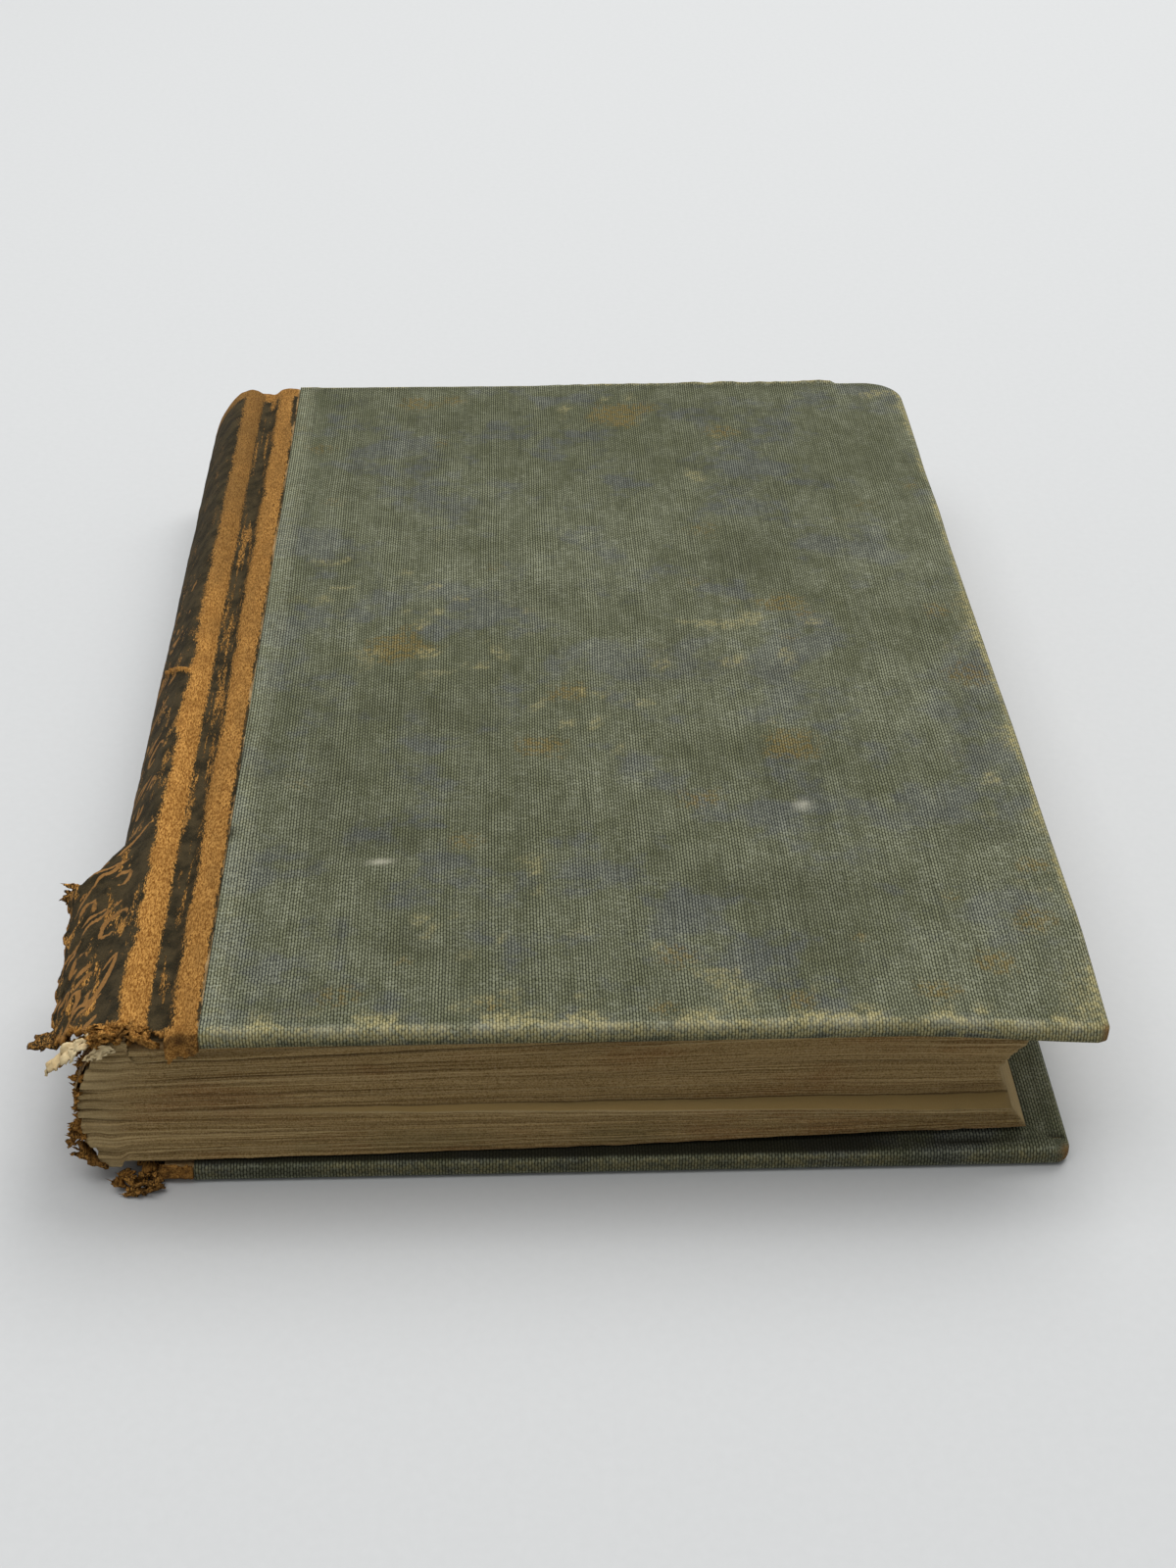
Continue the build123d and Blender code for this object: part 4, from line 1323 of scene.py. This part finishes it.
def shard(name, middle, widths, side_axis, thickness, seed, worn, crumple):
    """A curled, tapering scrap along a few points."""
    path = smooth_path(middle, 0.35)
    at = np.linspace(0, 1, len(path))
    half = np.interp(at, np.linspace(0, 1, len(widths)), widths) / 2
    across = np.linspace(-1, 1, 13)
    side = np.array(side_axis, float) / np.linalg.norm(side_axis)
    points = path[:, None, :] + half[:, None, None] * across[None, :, None] * side
    a, b = np.meshgrid(at * len(path) * 0.35, across, indexing="ij")
    shifts = [noise(a, b * 1.5, seed=seed + k, octaves=3) for k in range(3)]
    points = points + crumple * np.stack(shifts, -1)
    points[..., 2] = np.maximum(points[..., 2], thickness)
    index = np.arange(a.size).reshape(a.shape)
    left = np.abs(across)[None, :] + 0.35 * noise(a * 1.6, b * 0.5, seed=seed + 5, octaves=3) < 1.05
    shade = patches(-0.3, 0.5, a * 1.5, b * 1.5, seed=seed + 6, octaves=2)
    layers = {
        "worn": worn + 0.2 * shade, "tooled": np.zeros(a.size),
        "charred": (1 - worn) * shade, "dulled": 0.5 * shade,
    }
    piece = make_piece(name, points, shown_faces(index, left), layers=layers)
    thicken(piece, thickness)
    return piece


def scatter(low, high, count, size, seed):
    """count places inside a box, with sizes that vary."""
    chance = np.random.default_rng(seed)
    spread = chance.uniform(low, high, (count, 3))
    return [(*p, size * k) for p, k in zip(spread, chance.uniform(0.45, 1.25, count))]


# ---------------------------------------------------------------- setting


def setting():
    """A pale matte floor, soft light and the camera."""
    floor = Finish("pale_floor")
    spot = floor.place()
    grain = floor.noise(spot, 0.6, 3.0, 0.6)
    colour = floor.mix(grain, (194, 195, 195), (199, 200, 200))
    material = floor.done(colour, 0.9)
    bpy.ops.mesh.primitive_plane_add(size=8.0, location=(0, 0, 0))
    plane = bpy.context.object
    plane.name = "floor"
    plane.data.materials.append(material)

    world = bpy.data.worlds.new("soft_sky")
    bpy.context.scene.world = world
    world.use_nodes = True
    world.node_tree.nodes["Background"].inputs[0].default_value = (0.96, 0.98, 1.0, 1)
    world.node_tree.nodes["Background"].inputs[1].default_value = 0.34

    lamps = (  # name, place, size, watts
        ("window", (0.5, 0.9, 1.5), 1.3, 22.0),
        ("ceiling", (-0.4, 0.0, 1.6), 1.5, 18.0),
    )
    for name, place, size, watts in lamps:
        data = bpy.data.lights.new(name, "AREA")
        data.size, data.energy = size, watts
        lamp = bpy.data.objects.new(name, data)
        lamp.location = place
        lamp.rotation_euler = (Vector((0, 0, 0)) - Vector(place)).to_track_quat("-Z", "Y").to_euler()
        bpy.context.collection.objects.link(lamp)

    data = bpy.data.cameras.new("camera")
    data.sensor_width = 36.0
    data.lens = 52.875
    camera = bpy.data.objects.new("camera", data)
    camera.location = (-0.0156454, -0.3723964, 0.2522904)
    camera.rotation_euler = [math.radians(a) for a in (55.52449, -0.37862, -1.99967)]
    bpy.context.collection.objects.link(camera)
    bpy.context.scene.camera = camera
    bpy.context.scene.view_settings.view_transform = "Standard"


def glue_places():
    """Scraps of leather and glue left along the tail end of the bare back."""
    places = []
    for x, y, z, size in scatter((-0.5, -111.6, 8.0), (0.1, -104.5, 25.5), 70, 0.62, 5):
        places.append((float(arc_x(z)) + x, y, z, size))
    return places


def dress(piece, material, body=None):
    """Give a piece its material and the body that it rides on."""
    piece.data.materials.clear()
    piece.data.materials.append(material)
    if body:
        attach(piece, body)


def bend_in_groove(piece):
    """Bake a piece's place into its mesh, for a piece in the groove beside a hinge, between the leaves and
    a cover.
    """
    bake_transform(piece)


def leather_crumbs(leather, suede):
    """Crumbs left where the leather has broken away, most of them on the leaves."""
    piles = (  # name, where the crumbs lie, seed, how far they are worn, material
        ("ridge_crumbs", scatter((-78.5, -111.9, 26.5), (-70.5, -108.6, 29.6), 46, 0.75, 1),
         301, 0.75, suede),
        ("flap_corner_crumbs", scatter((-89.6, -69.5, 18.6), (-86.6, -65.0, 22.4), 14, 0.75, 4),
         331, 0.6, leather),
        ("back_glue", glue_places(), 341, 0.75, leather),
        ("back_spine_crumbs", scatter((-84.2, -111.8, 4.5), (-81.6, -106.0, 9.0), 26, 0.7, 2),
         311, 0.6, leather),
    )
    for name, places, seed, worn, material in piles:
        dress(crumbs(name, places, seed, worn), material, "book_block")
    places = scatter((-77.8, -115.6, 0.3), (-70.5, -110.6, 2.2), 46, 0.7, 3)
    piece = crumbs("back_joint_crumbs", places, 321, 0.62)
    dress(piece, leather)
    bend_in_groove(piece)


def torn_scraps(leather, suede, paper):
    """Scraps that hang loose at the spine's tail end."""
    scraps = (  # name, middle line, widths, side, thickness, seed, worn, crumple, material, slot
        ("flap_shard", [(-83.0, -103.0, 22.0), (-86.0, -102.2, 20.6), (-89.4, -101.4, 19.6)],
         (4.6, 4.6, 2.6), (0.2, 1, 0.1), 0.5, 401, 0.45, 0.9, leather, "spine_leather"),
        ("flap_tail_shard", [(-80.0, -106.0, 24.0), (-83.2, -106.6, 21.5), (-85.4, -107.0, 19.8)],
         (3.2, 3.4, 1.4), (0.1, 1, 0.2), 0.5, 411, 0.7, 0.6, suede, "spine_leather"),
        ("back_spine_shard", [(-79.2, -111.2, 2.6), (-81.4, -111.0, 4.4), (-83.2, -110.2, 6.8)],
         (2.2, 3.0, 2.0), (0.1, 1, -0.3), 0.6, 421, 0.55, 0.7, leather, "spine_leather"),
        ("lining_shred", [(-79.6, -109.4, 26.0), (-82.6, -108.6, 23.6), (-86.2, -108.0, 20.4)],
         (3.0, 4.6, 4.2, 1.6), (0.25, 1, 0.25), 0.22, 431, 0.5, 1.1, paper, "lining"),
        ("ridge_shred", [(-79.4, -111.4, 25.2), (-77.2, -112.0, 26.6), (-75.2, -112.2, 27.0)],
         (1.4, 2.0, 1.2), (0.1, 0.5, 1), 0.22, 441, 0.5, 0.8, paper, "lining"),
    )
    for *shape, material, slot in scraps:
        dress(shard(*shape), material, "book_block")


def build():
    """Make every piece, and give each its material and, for most, the body that it rides on."""
    setting()
    cloth = cloth_finish()
    leather = leather_finish("spine_calf")
    suede = leather_finish("torn_calf", suede=0.6)
    board = board_finish()
    endpaper = paper_finish("endpaper", (196, 178, 138), (178, 154, 112), (140, 104, 62))
    shred_paper = paper_finish("shred_paper", (206, 188, 148), (186, 160, 116), (140, 100, 60))

    dress(front_cloth(), cloth, "front_cover")
    dress(back_cloth(), cloth, "back_cover")
    dress(front_board(), board, "front_cover")
    dress(front_pastedown(), endpaper, "front_cover")
    dress(spine_leather(), leather, "book_block")
    for make, cover, hinge in (
        (front_joint_leather, "front_cover", front_hinge), (back_joint_leather, "back_cover", back_hinge),
    ):
        piece = make()
        dress(piece, leather)
        bend_in_groove(piece)
    dress(text_block(), leaves_finish(), "book_block")
    dress(spine_lining(), lining_finish(), "book_block")
    for name, cover, hinge, z_page, side in (
        ("front_hinge_paper", "front_cover", front_hinge, page_gap_top - 0.05, 1),
        ("back_hinge_paper", "back_cover", back_hinge, page_gap_bottom + 0.05, -1),
    ):
        dress(hinge_paper(name, hinge, z_page, side), endpaper)
    dress(frame["nodes"]["back_pastedown"], endpaper)
    dress(frame["nodes"]["back_board"], board)
    leather_crumbs(leather, suede)
    torn_scraps(leather, suede, shred_paper)


build()
